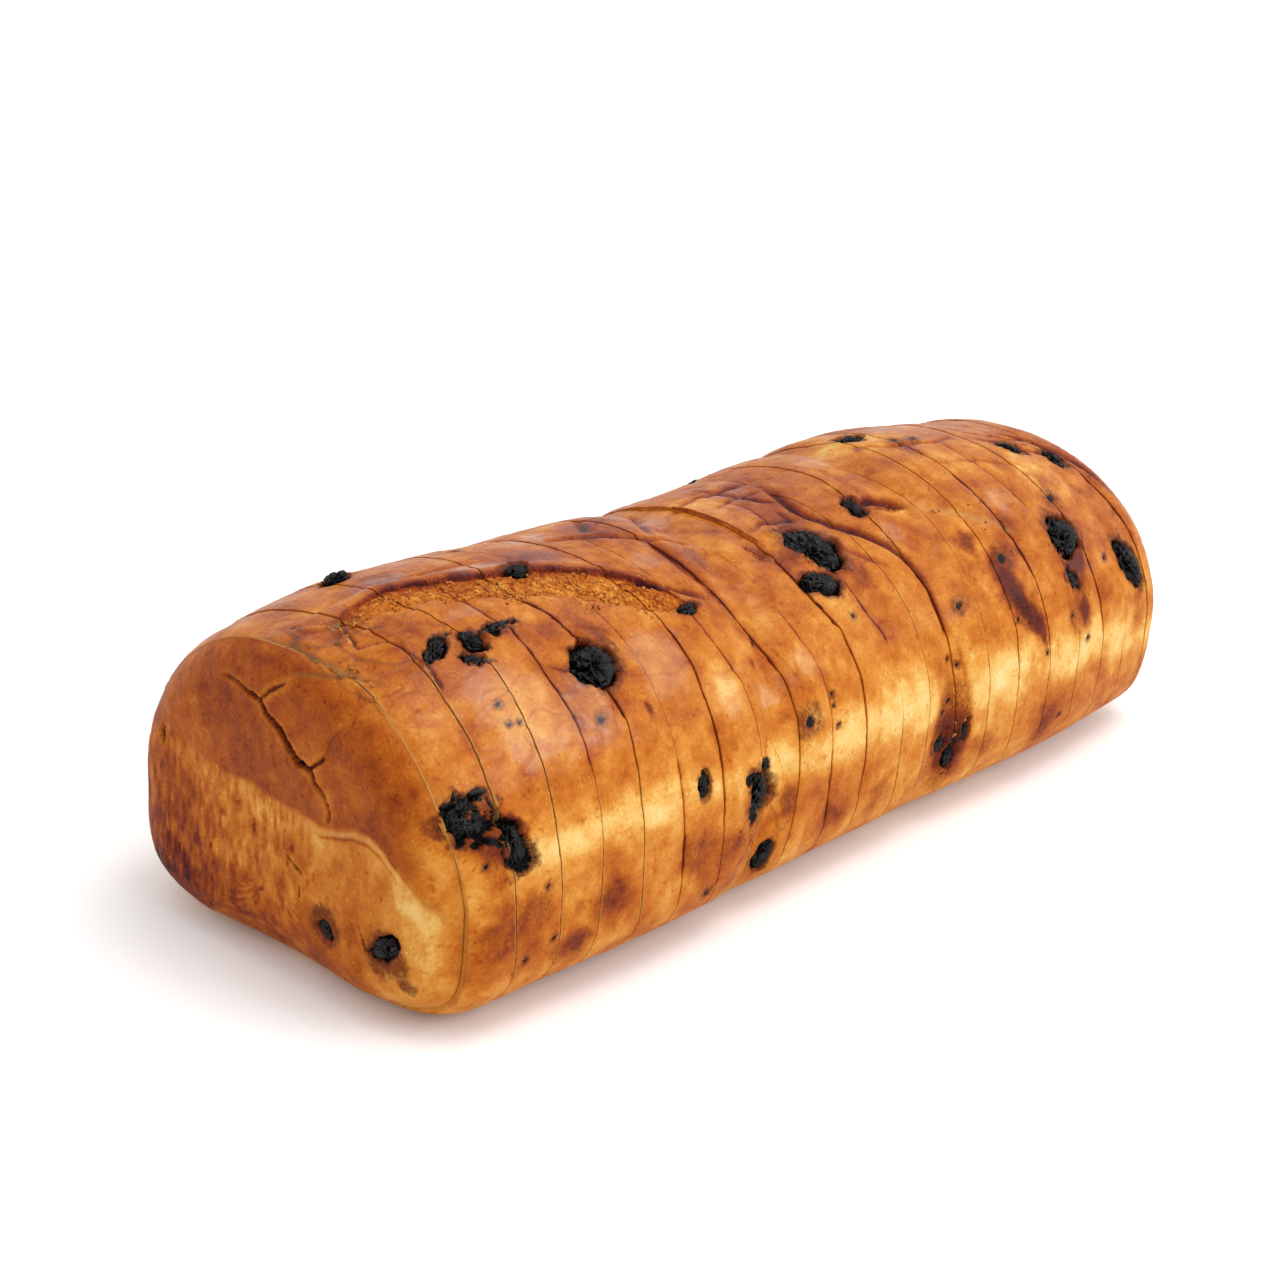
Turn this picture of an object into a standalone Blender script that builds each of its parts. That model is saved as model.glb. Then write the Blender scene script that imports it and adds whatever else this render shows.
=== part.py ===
"""A raisin loaf baked in a tin, sliced from end to end and still in one row.

Units are metres and +Z is up. The loaf lies along X with its base on z = 0 and its
centre over the origin. The near heel is at -X and the long side with most fruit at -Y.

Every slice is cut from one surface. A station x along the loaf gives an outline in polar
form about an axis at the widest height: angle 0 points to the front (-Y), 90 degrees to
the top, 180 to the back and 270 to the base. Folds, creases and tears move that outline
in or out. Raisins sit in pockets cut into the slices, and a raisin on a cut is in halves.
"""
import math

import bmesh
import bpy
import numpy as np
from mathutils import Matrix, Vector

MM = 0.001

# The whole loaf
LENGTH = 0.270
HALF_WIDTH = 0.052
WIDEST_HEIGHT = 0.0290
BASE_FLATTENING = 0.0006
SIDE_POWER_LOW = 3.9
SIDE_POWER_HIGH = 2.05

# Crests and dips of the three dough lobes: place along the loaf, then height or reach
CROWN = ((-0.135, 0.0722), (-0.098, 0.0777), (-0.040, 0.0753), (0.000, 0.0732),
         (0.066, 0.0773), (0.135, 0.0704))
FRONT = ((-0.135, 0.0506), (-0.060, 0.0539), (0.000, 0.0528), (0.075, 0.0547), (0.135, 0.0510))
BACK = ((-0.135, 0.0510), (-0.085, 0.0534), (-0.010, 0.0520), (0.070, 0.0536), (0.135, 0.0512))

# Corner radii where the long surface turns into a heel: at the sides, top and base
NEAR_CORNER = (0.0160, 0.0084, 0.0175)
FAR_CORNER = (0.0140, 0.0116, 0.0180)

# The cuts
FIRST_CUT = 0.0063
SLICE_PITCH = 0.0125
SLICE_COUNT = 20
CUT_GAP = 0.0003
SHINGLE = 0.0004
SHINGLED_SLICES = 4

# Directions round an outline, in degrees, and the steps between them: the front wall, the
# top on both sides of the tear, the back wall, then the flat base. The tear has its own.
BASE_ANGLE = 47.0
SHOULDER_ANGLE = 35.0
CROWN_ANGLE = 115.0
TEAR_OFFSETS = (-9.0, -6.5, -4.5, -2.0, 0.0, 2.0, 4.5, 6.5, 9.0)
FRONT_STEPS = 13
BEFORE_TEAR_STEPS = 4
AFTER_TEAR_STEPS = 5
BACK_STEPS = 14
BASE_STEPS = 4

# The pinches between dough lobes: place low on the front, drift over the top, depth, reach
PINCHES = (
    (-0.042, 0.030, 0.0022, 0.0060),
    (0.025, 0.028, 0.0018, 0.0055),
)
PINCH_LOW_ANGLE = -20.0
PINCH_HIGH_ANGLE = 110.0

# The long tear along the top: stations with its angle, half width in degrees and depth
TEAR = (
    (-0.124, 89.0, 2.0, 0.0),
    (-0.108, 88.0, 5.0, 0.0030),
    (-0.085, 80.5, 5.5, 0.0042),
    (-0.062, 71.5, 6.0, 0.0040),
    (-0.047, 59.0, 5.0, 0.0030),
    (-0.036, 51.0, 3.0, 0.0),
    (0.000, 70.0, 3.0, 0.0),
)

# The ledge at a cut on the crown: where the sunken slice starts to drop, the cut, the lowest
# and highest angle, and how far it has dropped at the cut
LEDGE = (-0.0155, -0.0037, 62.0, 128.0, 0.0024)
LEDGE_FADE = 12.0

# The small eye-shaped hole behind the second pinch
EYE_HOLE = (0.0405, 64.0, 0.0105, 0.0034, -28.0)

# Oven spring on the heels: the dome stands proud of the tin's pale band
RIM_HEIGHT = 0.040
RIM_DROP_AT_SIDE = 0.016
DOME_PROUD = 0.0010
DOME_SLOPE = 0.020
DOME_TOP = 0.052
DOME_FADE = 0.020

# The crack on the near dome: across the heel and up it, then its size
CRACK = ((0.0205, 0.0615), (0.0095, 0.0612), (0.0040, 0.0600), (-0.0005, 0.0565),
         (-0.0050, 0.0520), (-0.0095, 0.0495), (-0.0130, 0.0465), (-0.0160, 0.0425))
CRACK_WIDTH = 0.0020
CRACK_DEPTH = 0.0045

# Raisins, in millimetres and degrees: name, x, angle, length, width, turn of the long axis
# from the loaf's length, then how proud of the crust it stands
RAISINS = (
    ("round", -78.6, 48.0, 12.5, 10.5, 15, 1.8),
    ("crown_large", 8.3, 60.5, 16.0, 11.5, -68, 1.8),
    ("crown_low", 0.5, 48.3, 11.0, 6.6, -15, 1.5),
    ("far_round", 90.1, 36.6, 12.4, 11.0, 10, 1.8),
    ("far_corner", 115.8, 21.3, 15.0, 7.5, -62, 1.5),
    ("tear_end", -42.9, 53.8, 6.4, 3.2, 8, 1.0),
    ("skyline", -101.7, 114.0, 7.5, 6.0, 0, 1.9),
    ("tear_lip", -71.7, 85.6, 6.5, 5.0, 10, 1.4),
    ("torn_left", -110.0, 67.4, 9.5, 3.8, 33, 0.9),
    ("torn_middle", -101.8, 65.6, 6.2, 6.0, 20, 1.1),
    ("torn_right", -94.1, 66.0, 8.2, 3.6, 8, 0.9),
    ("torn_low", -105.4, 60.0, 4.0, 3.6, -30, 0.9),
    ("corner_large", -124.6, 25.2, 10.5, 8.0, 15, 1.2),
    ("corner_right", -115.8, 15.3, 7.5, 9.0, 10, 1.0),
    ("side_tall", -41.7, 3.6, 10.5, 8.5, -66, 1.0),
    ("side_base", -37.0, -15.5, 8.0, 5.0, 80, 1.0),
    ("side_slim", -61.5, 12.0, 7.0, 3.6, 85, 0.7),
    ("crease_upper", 28.2, -6.5, 6.5, 4.6, 65, 0.9),
    ("crease_lower", 31.6, -11.5, 6.5, 3.8, 80, 0.9),
    ("crease_right", 35.9, -4.5, 7.0, 3.4, 85, 0.8),
    ("far_under", 85.2, 24.3, 6.5, 4.6, -50, 0.8),
    ("far_top_left", 105.3, 74.0, 8.5, 6.5, -35, 1.2),
    ("far_top_right", 116.8, 64.0, 9.5, 5.0, 80, 1.0),
    ("by_the_eye", 31.2, 69.0, 6.5, 5.0, 70, 0.8),
    ("skyline_far", 63.5, 101.5, 8.0, 6.0, 0, 0.8),
    ("back_a", -88.0, 150.0, 9.0, 7.0, 30, 1.2),
    ("back_b", -20.0, 168.0, 10.0, 6.5, -60, 1.2),
    ("back_c", 40.0, 143.0, 9.5, 8.5, 10, 1.5),
    ("back_d", 90.5, 176.0, 9.0, 5.5, 75, 1.0),
)

# Raisins baked into the heels, in the same way: name, y, z, length, width, turn, how proud,
# then -1 for the near heel or 1 for the far one
HEEL_RAISINS = (
    ("near_low", -32.5, 19.5, 8.5, 4.4, -30, 0.9, -1),
    ("near_mid", -15.5, 16.8, 5.5, 4.2, 40, 0.8, -1),
    ("far_heel_a", 18.0, 46.0, 9.5, 7.5, 25, 1.2, 1),
    ("far_heel_b", -20.0, 24.0, 8.0, 5.5, -40, 1.0, 1),
)
RAISIN_THICKNESS = 0.62
SMALLEST_HALF = 0.0020
POCKET_CLEARANCE = 0.00045
WRINKLE = 0.09


def clear_scene():
    for obj in list(bpy.data.objects):
        bpy.data.objects.remove(obj, do_unlink=True)


def material(name, color, roughness):
    mat = bpy.data.materials.new(name)
    mat.use_nodes = True
    mat.diffuse_color = (*color, 1.0)
    shader = mat.node_tree.nodes["Principled BSDF"]
    shader.inputs["Base Color"].default_value = (*color, 1.0)
    shader.inputs["Roughness"].default_value = roughness
    shader.inputs["Metallic"].default_value = 0.0
    return mat


def smooth(t):
    """0 below 0, 1 above 1 and an even curve between."""
    t = np.clip(t, 0.0, 1.0)
    return t * t * (3.0 - 2.0 * t)


def along(profile, x):
    """A profile's value at x, level at each of its crests and dips."""
    places = [p[0] for p in profile]
    step = int(np.clip(np.searchsorted(places, x) - 1, 0, len(profile) - 2))
    (x0, v0), (x1, v1) = profile[step], profile[step + 1]
    return v0 + (v1 - v0) * float(smooth((x - x0) / (x1 - x0)))


def corner_inset(x, sine, corner, end):
    """How far a heel's rounded corner draws the outline in at station x."""
    side, top, base = corner
    radius = side + ((top if sine > 0 else base) - side) * sine * sine
    depth = LENGTH / 2 - x if end > 0 else LENGTH / 2 + x
    short = min(max(radius - depth, 0.0), radius)
    return radius - math.sqrt(radius * radius - short * short)


def pinch_inset(x, degrees):
    total = 0.0
    for low_x, drift, depth, reach in PINCHES:
        turn = (degrees - PINCH_LOW_ANGLE) / (PINCH_HIGH_ANGLE - PINCH_LOW_ANGLE)
        centre = low_x + drift * min(max(turn, 0.0), 1.0)
        total += depth * math.exp(-((x - centre) / reach) ** 2)
    return total


def tear_inset(x, degrees):
    places = [p[0] for p in TEAR]
    if not places[0] < x < places[-1]:
        return 0.0
    centre, half, depth = (np.interp(x, places, [p[i] for p in TEAR]) for i in (1, 2, 3))
    across = abs(degrees - centre) / half
    return depth * float(1.0 - smooth((across - 0.45) / 0.75))


def ledge_inset(x, degrees):
    """How far the crown of one slice sinks towards its cut, so that the next stands proud."""
    start, cut, low, high, drop = LEDGE
    if not start < x < cut:
        return 0.0
    inside = smooth((degrees - low) / LEDGE_FADE) * smooth((high - degrees) / LEDGE_FADE)
    return drop * float(smooth((x - start) / (cut - start)) * inside)


def shingle(x):
    """Near the near heel each slice's near rim stands a little proud of the slice before."""
    into = (x + LENGTH / 2 - FIRST_CUT) / SLICE_PITCH
    if not 0.0 <= into < SHINGLED_SLICES:
        return 0.0
    return SHINGLE * (0.5 - into % 1.0)


def outline_radius(x, degrees):
    """Distance of the crust from the loaf's axis at station x in one direction."""
    angle = math.radians(degrees)
    cosine, sine = math.cos(angle), math.sin(angle)
    reach = along(FRONT if cosine > 0 else BACK, x)
    reach = HALF_WIDTH + (reach - HALF_WIDTH) * cosine * cosine
    if sine < 0:
        rise, power = WIDEST_HEIGHT + BASE_FLATTENING, SIDE_POWER_LOW
    else:
        rise, power = along(CROWN, x) - WIDEST_HEIGHT, SIDE_POWER_HIGH
    radius = ((abs(cosine) / reach) ** power + (abs(sine) / rise) ** power) ** (-1.0 / power)
    radius -= corner_inset(x, sine, NEAR_CORNER, -1)
    radius -= corner_inset(x, sine, FAR_CORNER, 1)
    radius -= pinch_inset(x, degrees) * float(smooth((sine + 0.55) / 0.3))
    radius -= tear_inset(x, degrees)
    radius -= ledge_inset(x, degrees)
    return radius + shingle(x)


def crust_point(x, degrees):
    radius = outline_radius(x, degrees)
    angle = math.radians(degrees)
    height = max(WIDEST_HEIGHT + radius * math.sin(angle), 0.0)
    return Vector((x, -radius * math.cos(angle), height))


def spread(start, stop, steps):
    return [start + (stop - start) * i / steps for i in range(steps)]


def outline_angles(x):
    """Directions round the outline at x, with the closest ones following the tear."""
    centre = float(np.interp(x, [p[0] for p in TEAR], [p[1] for p in TEAR]))
    tear = [centre + offset for offset in TEAR_OFFSETS]
    return [
        *spread(-BASE_ANGLE, SHOULDER_ANGLE, FRONT_STEPS),
        *spread(SHOULDER_ANGLE, tear[0], BEFORE_TEAR_STEPS),
        *tear[:-1],
        *spread(tear[-1], CROWN_ANGLE, AFTER_TEAR_STEPS),
        *spread(CROWN_ANGLE, 180.0 + BASE_ANGLE, BACK_STEPS),
        *spread(180.0 + BASE_ANGLE, 360.0 - BASE_ANGLE, BASE_STEPS),
    ]


def crust_ring(x):
    return [crust_point(x, degrees) for degrees in outline_angles(x)]


def rim_height(y):
    """Height of the line where the dome meets the tin's pale band on a heel."""
    return RIM_HEIGHT - RIM_DROP_AT_SIDE * float(smooth((abs(y) - 0.030) / 0.022))


def dome_proud(point):
    """How far a heel's dome stands out over the band below it."""
    over = smooth((point.z - rim_height(point.y)) / DOME_SLOPE + 0.5)
    return DOME_PROUD * float(over * (1.0 - smooth((point.z - DOME_TOP) / DOME_FADE)))


def loft(mesh, rings):
    """Join rings of points into one closed surface, the first and last ring capped."""
    loops = [[mesh.verts.new(point) for point in ring] for ring in rings]
    for one, two in zip(loops, loops[1:]):
        for i in range(len(one)):
            j = (i + 1) % len(one)
            mesh.faces.new((one[i], one[j], two[j], two[i]))
    mesh.faces.new(reversed(loops[0]))
    mesh.faces.new(loops[-1])


def heel_rings(end):
    """Rings from a heel's outer face to its cut: the flat face first, then the corner."""
    thickness = FIRST_CUT if end < 0 else LENGTH - FIRST_CUT - SLICE_COUNT * SLICE_PITCH
    face = end * LENGTH / 2
    rings = []
    for share in (0.4, 0.75, 1.0):
        middle = Vector((face, 0.0, WIDEST_HEIGHT))
        ring = [middle.lerp(edge, share) for edge in crust_ring(face)]
        for point in ring:
            point.x += end * dome_proud(point)
        rings.append(ring)
    last = thickness - CUT_GAP / 2
    for share in (0.06, 0.25, 0.55, 1.0):
        ring = crust_ring(face - end * last * share)
        for point in ring:
            point.x += end * dome_proud(point) * (1.0 - share)
        rings.append(ring)
    return rings if end < 0 else rings[::-1]


def slice_rings(start):
    """Rings of one slice: its two cut faces and the crust's middle line."""
    first, last = start + CUT_GAP / 2, start + SLICE_PITCH - CUT_GAP / 2
    return [crust_ring(x) for x in (first, (first + last) / 2, last)]


def face_out(mesh):
    """Turn every face of a closed mesh outwards."""
    bmesh.ops.recalc_face_normals(mesh, faces=mesh.faces)
    if mesh.calc_volume(signed=True) < 0:
        bmesh.ops.reverse_faces(mesh, faces=mesh.faces)


def new_object(name, mesh, mat):
    face_out(mesh)
    data = bpy.data.meshes.new(name)
    mesh.to_mesh(data)
    mesh.free()
    data.materials.append(mat)
    data.shade_smooth()
    data.set_sharp_from_angle(angle=math.radians(40))
    obj = bpy.data.objects.new(name, data)
    bpy.context.scene.collection.objects.link(obj)
    return obj


def loaf_piece(name, rings, mat):
    mesh = bmesh.new()
    loft(mesh, rings)
    bmesh.ops.triangulate(mesh, faces=[f for f in mesh.faces if len(f.verts) > 4])
    return new_object(name, mesh, mat)


def raisin_mesh(seed, size, growth):
    """A wrinkled flat berry about the origin, its long axis along X, grown by a clearance."""
    mesh = bmesh.new()
    bmesh.ops.create_icosphere(mesh, subdivisions=2, radius=1.0)
    rng = np.random.default_rng(seed)
    waves = rng.normal(0.0, 2.2, (3, 3))
    phases = rng.uniform(0.0, math.tau, 3)
    for vert in mesh.verts:
        ripple = sum(math.sin(Vector(w).dot(vert.co) + p) for w, p in zip(waves, phases))
        vert.co *= 1.0 + WRINKLE * ripple / 3.0
        vert.co = Vector(c * (s / 2.0 + growth) for c, s in zip(vert.co, size))
    return mesh


def surface_frame(x, degrees):
    """Place, outward normal and length direction of the crust at a station and angle."""
    step = 0.0015
    place = crust_point(x, degrees)
    down_x = crust_point(x + step, degrees) - crust_point(x - step, degrees)
    over = crust_point(x, degrees + 2.0) - crust_point(x, degrees - 2.0)
    normal = over.cross(down_x).normalized()
    if normal.dot(place - Vector((x, 0.0, WIDEST_HEIGHT))) < 0:
        normal.negate()
    return place, normal, down_x.normalized()


def raisin_matrix(place, normal, length_dir, turn, sunk):
    """Lay a raisin flat on the crust, its long axis turned from the loaf's length."""
    side_dir = normal.cross(length_dir).normalized()
    if side_dir.z < 0:
        side_dir.negate()
    swing = math.radians(turn)
    long_axis = (length_dir * math.cos(swing) + side_dir * math.sin(swing)).normalized()
    cross_axis = normal.cross(long_axis).normalized()
    axes = Matrix((long_axis, cross_axis, normal)).transposed().to_4x4()
    return Matrix.Translation(place - normal * sunk) @ axes


def raisin_places():
    """Every raisin's name, matrix and size, in the order of the tables."""
    for name, x, degrees, length, width, turn, proud in RAISINS:
        size = (length * MM, width * MM, max(width * MM * RAISIN_THICKNESS, 0.0030))
        place, normal, length_dir = surface_frame(x * MM, degrees)
        sunk = size[2] / 2.0 - proud * MM
        yield name, raisin_matrix(place, normal, length_dir, turn, sunk), size
    for name, y, z, length, width, turn, proud, end in HEEL_RAISINS:
        size = (length * MM, width * MM, max(width * MM * RAISIN_THICKNESS, 0.0030))
        place = Vector((end * LENGTH / 2, y * MM, z * MM))
        sunk = size[2] / 2.0 - proud * MM
        yield name, raisin_matrix(place, Vector((end, 0, 0)), Vector((0, 1, 0)), turn, sunk), size


def slab_limits():
    """Where each piece of the loaf starts and ends along X, in order."""
    cuts = [-LENGTH / 2 + FIRST_CUT + SLICE_PITCH * k for k in range(SLICE_COUNT + 1)]
    edges = [-1.0, *cuts, 1.0]
    return list(zip(edges, edges[1:]))


def trim_to_slab(mesh, low, high):
    """Keep what lies between two cut planes and close the cut faces."""
    for place, side in ((low + CUT_GAP / 2, -1), (high - CUT_GAP / 2, 1)):
        geometry = mesh.verts[:] + mesh.edges[:] + mesh.faces[:]
        cut = bmesh.ops.bisect_plane(
            mesh, geom=geometry, plane_co=(place, 0, 0), plane_no=(side, 0, 0), clear_outer=True)
        rim = [e for e in cut["geom_cut"] if isinstance(e, bmesh.types.BMEdge)]
        if rim:
            bmesh.ops.edgeloop_fill(mesh, edges=rim)


def carve(target, cutter_mesh):
    """Cut a closed shape out of a piece and leave no cutter behind.

    The exact solver can lose a whole piece, and only then the manifold one cuts it.
    """
    data = bpy.data.meshes.new("cutter")
    cutter_mesh.to_mesh(data)
    cutter_mesh.free()
    cutter = bpy.data.objects.new("cutter", data)
    bpy.context.scene.collection.objects.link(cutter)
    cut = target.modifiers.new("cut", "BOOLEAN")
    cut.operation = "DIFFERENCE"
    cut.object = cutter
    for solver in ("EXACT", "MANIFOLD"):
        cut.solver = solver
        shaped = target.evaluated_get(bpy.context.evaluated_depsgraph_get())
        result = bpy.data.meshes.new_from_object(shaped)
        if len(result.polygons) > 0:
            break
    target.modifiers.clear()
    target.data = result
    bpy.data.objects.remove(cutter, do_unlink=True)


def reach_along_x(mesh):
    stations = [vert.co.x for vert in mesh.verts]
    return min(stations), max(stations)


def add_raisins(pieces, mat):
    """Seat each raisin in its pocket, in halves where a cut passes through it."""
    for seed, (name, matrix, size) in enumerate(raisin_places()):
        whole = raisin_mesh(seed, size, 0.0)
        whole.transform(matrix)
        low_x, high_x = reach_along_x(whole)
        whole.free()
        halves = []
        for index, (low, high) in enumerate(slab_limits()):
            if min(high, high_x) - max(low, low_x) > SMALLEST_HALF:
                halves.append((index, low, high))
        for number, (index, low, high) in enumerate(halves):
            pocket = raisin_mesh(seed, size, POCKET_CLEARANCE)
            pocket.transform(matrix)
            carve(pieces[index], pocket)
            berry = raisin_mesh(seed, size, 0.0)
            berry.transform(matrix)
            trim_to_slab(berry, low, high)
            half = "" if len(halves) == 1 else ("_a", "_b")[number]
            new_object(f"raisin_{name}{half}", berry, mat)


def add_crack(heel):
    """Cut the jagged crack of the near dome as one V-shaped trench."""
    mesh = bmesh.new()
    outer = -LENGTH / 2 - 0.004
    root = -LENGTH / 2 + CRACK_DEPTH
    count = len(CRACK)
    sections = []
    for i, (y, z) in enumerate(CRACK):
        before, after = CRACK[max(i - 1, 0)], CRACK[min(i + 1, count - 1)]
        run = Vector((after[0] - before[0], after[1] - before[1])).normalized()
        swell = 0.35 + 0.65 * math.sin(math.pi * i / (count - 1))
        half = CRACK_WIDTH / 2 * swell
        reach = 1.0 + 0.004 / CRACK_DEPTH
        side = Vector((-run.y, run.x)) * half * reach
        deep = root - CRACK_DEPTH * (1.0 - swell) * 0.5
        points = ((outer, y + side.x, z + side.y), (outer, y - side.x, z - side.y), (deep, y, z))
        sections.append([Vector(p) for p in points])
    loft(mesh, sections)
    face_out(mesh)
    carve(heel, mesh)


def add_eye_hole(piece):
    x, degrees, length, width, turn = EYE_HOLE
    place, normal, length_dir = surface_frame(x, degrees)
    mesh = bmesh.new()
    bmesh.ops.create_icosphere(mesh, subdivisions=2, radius=1.0)
    bmesh.ops.scale(mesh, vec=(length / 2, width / 2, 0.0028), verts=mesh.verts)
    mesh.transform(raisin_matrix(place, normal, length_dir, turn, 0.0))
    carve(piece, mesh)


def build_loaf():
    clear_scene()
    crust = material("crust", (0.56, 0.25, 0.08), 0.38)
    fruit = material("raisin", (0.035, 0.020, 0.018), 0.45)
    cuts = [low for low, high in slab_limits()[1:-1]]
    pieces = [loaf_piece("heel_near", heel_rings(-1), crust)]
    for number, start in enumerate(cuts, 1):
        pieces.append(loaf_piece(f"slice_{number:02d}", slice_rings(start), crust))
    pieces.append(loaf_piece("heel_far", heel_rings(1), crust))
    add_crack(pieces[0])
    eye_slice = next(i for i, (low, high) in enumerate(slab_limits()) if low < EYE_HOLE[0] < high)
    add_eye_hole(pieces[eye_slice])
    add_raisins(pieces, fruit)


build_loaf()
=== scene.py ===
# %% [markdown]
# # A sliced raisin loaf, from solids to a baked crust
# The loaf was baked in a tin, glazed with egg, sliced from end to end and left in one row.
# Its solids are already made: one for each slice, both heels and every large raisin. This
# lesson dresses them. Each slice gets a fine mesh of the same form with folds, tears and
# pores in it, the raisins are grown by Geometry Nodes, and the finishes are all procedural.

# %% Load the solids and note the space they fill
import itertools
import math

import bmesh
import bpy
import numpy as np
from mathutils import Matrix, Vector


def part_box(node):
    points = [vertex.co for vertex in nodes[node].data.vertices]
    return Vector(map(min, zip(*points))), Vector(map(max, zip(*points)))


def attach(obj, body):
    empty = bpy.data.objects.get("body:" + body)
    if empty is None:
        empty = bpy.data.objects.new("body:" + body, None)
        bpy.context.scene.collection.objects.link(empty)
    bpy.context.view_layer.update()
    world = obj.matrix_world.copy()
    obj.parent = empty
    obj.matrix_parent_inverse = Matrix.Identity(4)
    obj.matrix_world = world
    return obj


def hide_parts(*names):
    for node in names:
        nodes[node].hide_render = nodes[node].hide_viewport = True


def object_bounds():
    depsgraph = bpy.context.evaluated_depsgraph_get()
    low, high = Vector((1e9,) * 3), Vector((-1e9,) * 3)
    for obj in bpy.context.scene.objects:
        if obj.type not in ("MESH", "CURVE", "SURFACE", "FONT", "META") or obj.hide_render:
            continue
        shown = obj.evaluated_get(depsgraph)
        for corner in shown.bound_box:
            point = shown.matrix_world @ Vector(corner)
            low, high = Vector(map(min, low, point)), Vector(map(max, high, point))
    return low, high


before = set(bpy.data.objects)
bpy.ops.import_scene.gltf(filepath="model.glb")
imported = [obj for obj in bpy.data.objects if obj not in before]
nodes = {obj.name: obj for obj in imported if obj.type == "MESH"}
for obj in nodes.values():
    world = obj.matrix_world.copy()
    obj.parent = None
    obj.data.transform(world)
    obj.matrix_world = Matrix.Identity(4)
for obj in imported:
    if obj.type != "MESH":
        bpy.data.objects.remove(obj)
cad_low, cad_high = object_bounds()
MM = 0.001
print("solids:", len(nodes), "size in mm:", [round(v / MM, 1) for v in cad_high - cad_low])

# %% [markdown]
# ## The loaf as one surface
# All slices come from one dough, so one function gives the whole crust and every slice is
# a stretch of it. A station x gives an outline in polar form about an axis at the widest
# height: angle 0 is the front, 90 the top, 180 the back and 270 the base. A superellipse
# gives the tin's square lower half and the round dome. Most sizes come from a fit of a camera
# and this outline to the photo, rounded and then adjusted. Whole arrays go through
# at once, because numpy is hundreds of times quicker than a loop over vertices.

# %% Driving sizes of the dough
LENGTH = 0.270
HALF_WIDTH = 0.052
WIDEST_HEIGHT = 0.0290
BASE_FLATTENING = 0.0006
SIDE_POWER_LOW = 3.9
SIDE_POWER_HIGH = 2.05
CROWN = ((-0.135, 0.0722), (-0.098, 0.0777), (-0.040, 0.0753), (0.000, 0.0732),
         (0.066, 0.0773), (0.135, 0.0704))
FRONT = ((-0.135, 0.0506), (-0.060, 0.0539), (0.000, 0.0528), (0.075, 0.0547), (0.135, 0.0510))
BACK = ((-0.135, 0.0510), (-0.085, 0.0534), (-0.010, 0.0520), (0.070, 0.0536), (0.135, 0.0512))
NEAR_CORNER = (0.0160, 0.0084, 0.0175)
FAR_CORNER = (0.0140, 0.0116, 0.0180)
FIRST_CUT = 0.0063
SLICE_PITCH = 0.0125
PINCHES = ((-0.042, 0.030, 0.0022, 0.0060), (0.025, 0.028, 0.0018, 0.0055))
PINCH_LOW_ANGLE, PINCH_HIGH_ANGLE = -20.0, 110.0
LEDGE = (-0.0155, -0.0037, 62.0, 128.0, 0.0006)
LEDGE_FADE = 12.0


def smooth(t):
    """0 below 0, 1 above 1 and an even curve between."""
    t = np.clip(t, 0.0, 1.0)
    return t * t * (3.0 - 2.0 * t)


def along(profile, x):
    """A profile's value at each x, level at its crests and dips."""
    places = np.array([p[0] for p in profile])
    values = np.array([p[1] for p in profile])
    step = np.clip(np.searchsorted(places, x) - 1, 0, len(profile) - 2)
    share = smooth((x - places[step]) / (places[step + 1] - places[step]))
    return values[step] + (values[step + 1] - values[step]) * share


def corner_inset(depth, sine, corner):
    """How far a heel's rounded corner draws the outline in at a depth from its face."""
    side, top, base = corner
    radius = side + (np.where(sine > 0, top, base) - side) * sine**2
    short = np.clip(radius - depth, 0.0, radius)
    return radius - np.sqrt(radius**2 - short**2)


def pinch_inset(x, degrees):
    """The soft valleys between the three balls of dough that were set in the tin."""
    total = np.zeros_like(x)
    for low_x, drift, depth, reach in PINCHES:
        turn = (degrees - PINCH_LOW_ANGLE) / (PINCH_HIGH_ANGLE - PINCH_LOW_ANGLE)
        centre = low_x + drift * np.clip(turn, 0.0, 1.0)
        total += depth * np.exp(-(((x - centre) / reach) ** 2))
    return total


def ledge_inset(x, degrees):
    """How far the crown of one slice sinks towards its cut, so that the next stands proud."""
    start, cut, low, high, drop = LEDGE
    inside = smooth((degrees - low) / LEDGE_FADE) * smooth((high - degrees) / LEDGE_FADE)
    sunken = drop * smooth((x - start) / (cut - start)) * inside
    return np.where((x > start) & (x < cut), sunken, 0.0)


def dough_radius(x, degrees):
    """Distance of the smooth crust from the loaf's axis."""
    cosine, sine = np.cos(np.radians(degrees)), np.sin(np.radians(degrees))
    reach = np.where(cosine > 0, along(FRONT, x), along(BACK, x))
    reach = HALF_WIDTH + (reach - HALF_WIDTH) * cosine**2
    rise = np.where(sine < 0, WIDEST_HEIGHT + BASE_FLATTENING, along(CROWN, x) - WIDEST_HEIGHT)
    power = np.where(sine < 0, SIDE_POWER_LOW, SIDE_POWER_HIGH)
    radius = ((np.abs(cosine) / reach) ** power + (np.abs(sine) / rise) ** power) ** (-1 / power)
    radius -= corner_inset(x + LENGTH / 2, sine, NEAR_CORNER)
    radius -= corner_inset(LENGTH / 2 - x, sine, FAR_CORNER)
    radius -= pinch_inset(x, degrees) * smooth((sine + 0.55) / 0.3)
    return radius - ledge_inset(x, degrees)


def dough_point(x, degrees):
    """Points of the smooth crust, as an array that ends in x, y, z."""
    x, degrees = np.broadcast_arrays(np.asarray(x, float), np.asarray(degrees, float))
    radius = dough_radius(x, degrees)
    angle = np.radians(degrees)
    height = WIDEST_HEIGHT + radius * np.sin(angle)
    return np.stack([x, -radius * np.cos(angle), np.maximum(height, 0.0)], axis=-1)


print("crown over the middle:", round(float(dough_point(0.0, 90.0)[2]) / MM, 1), "mm")

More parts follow.
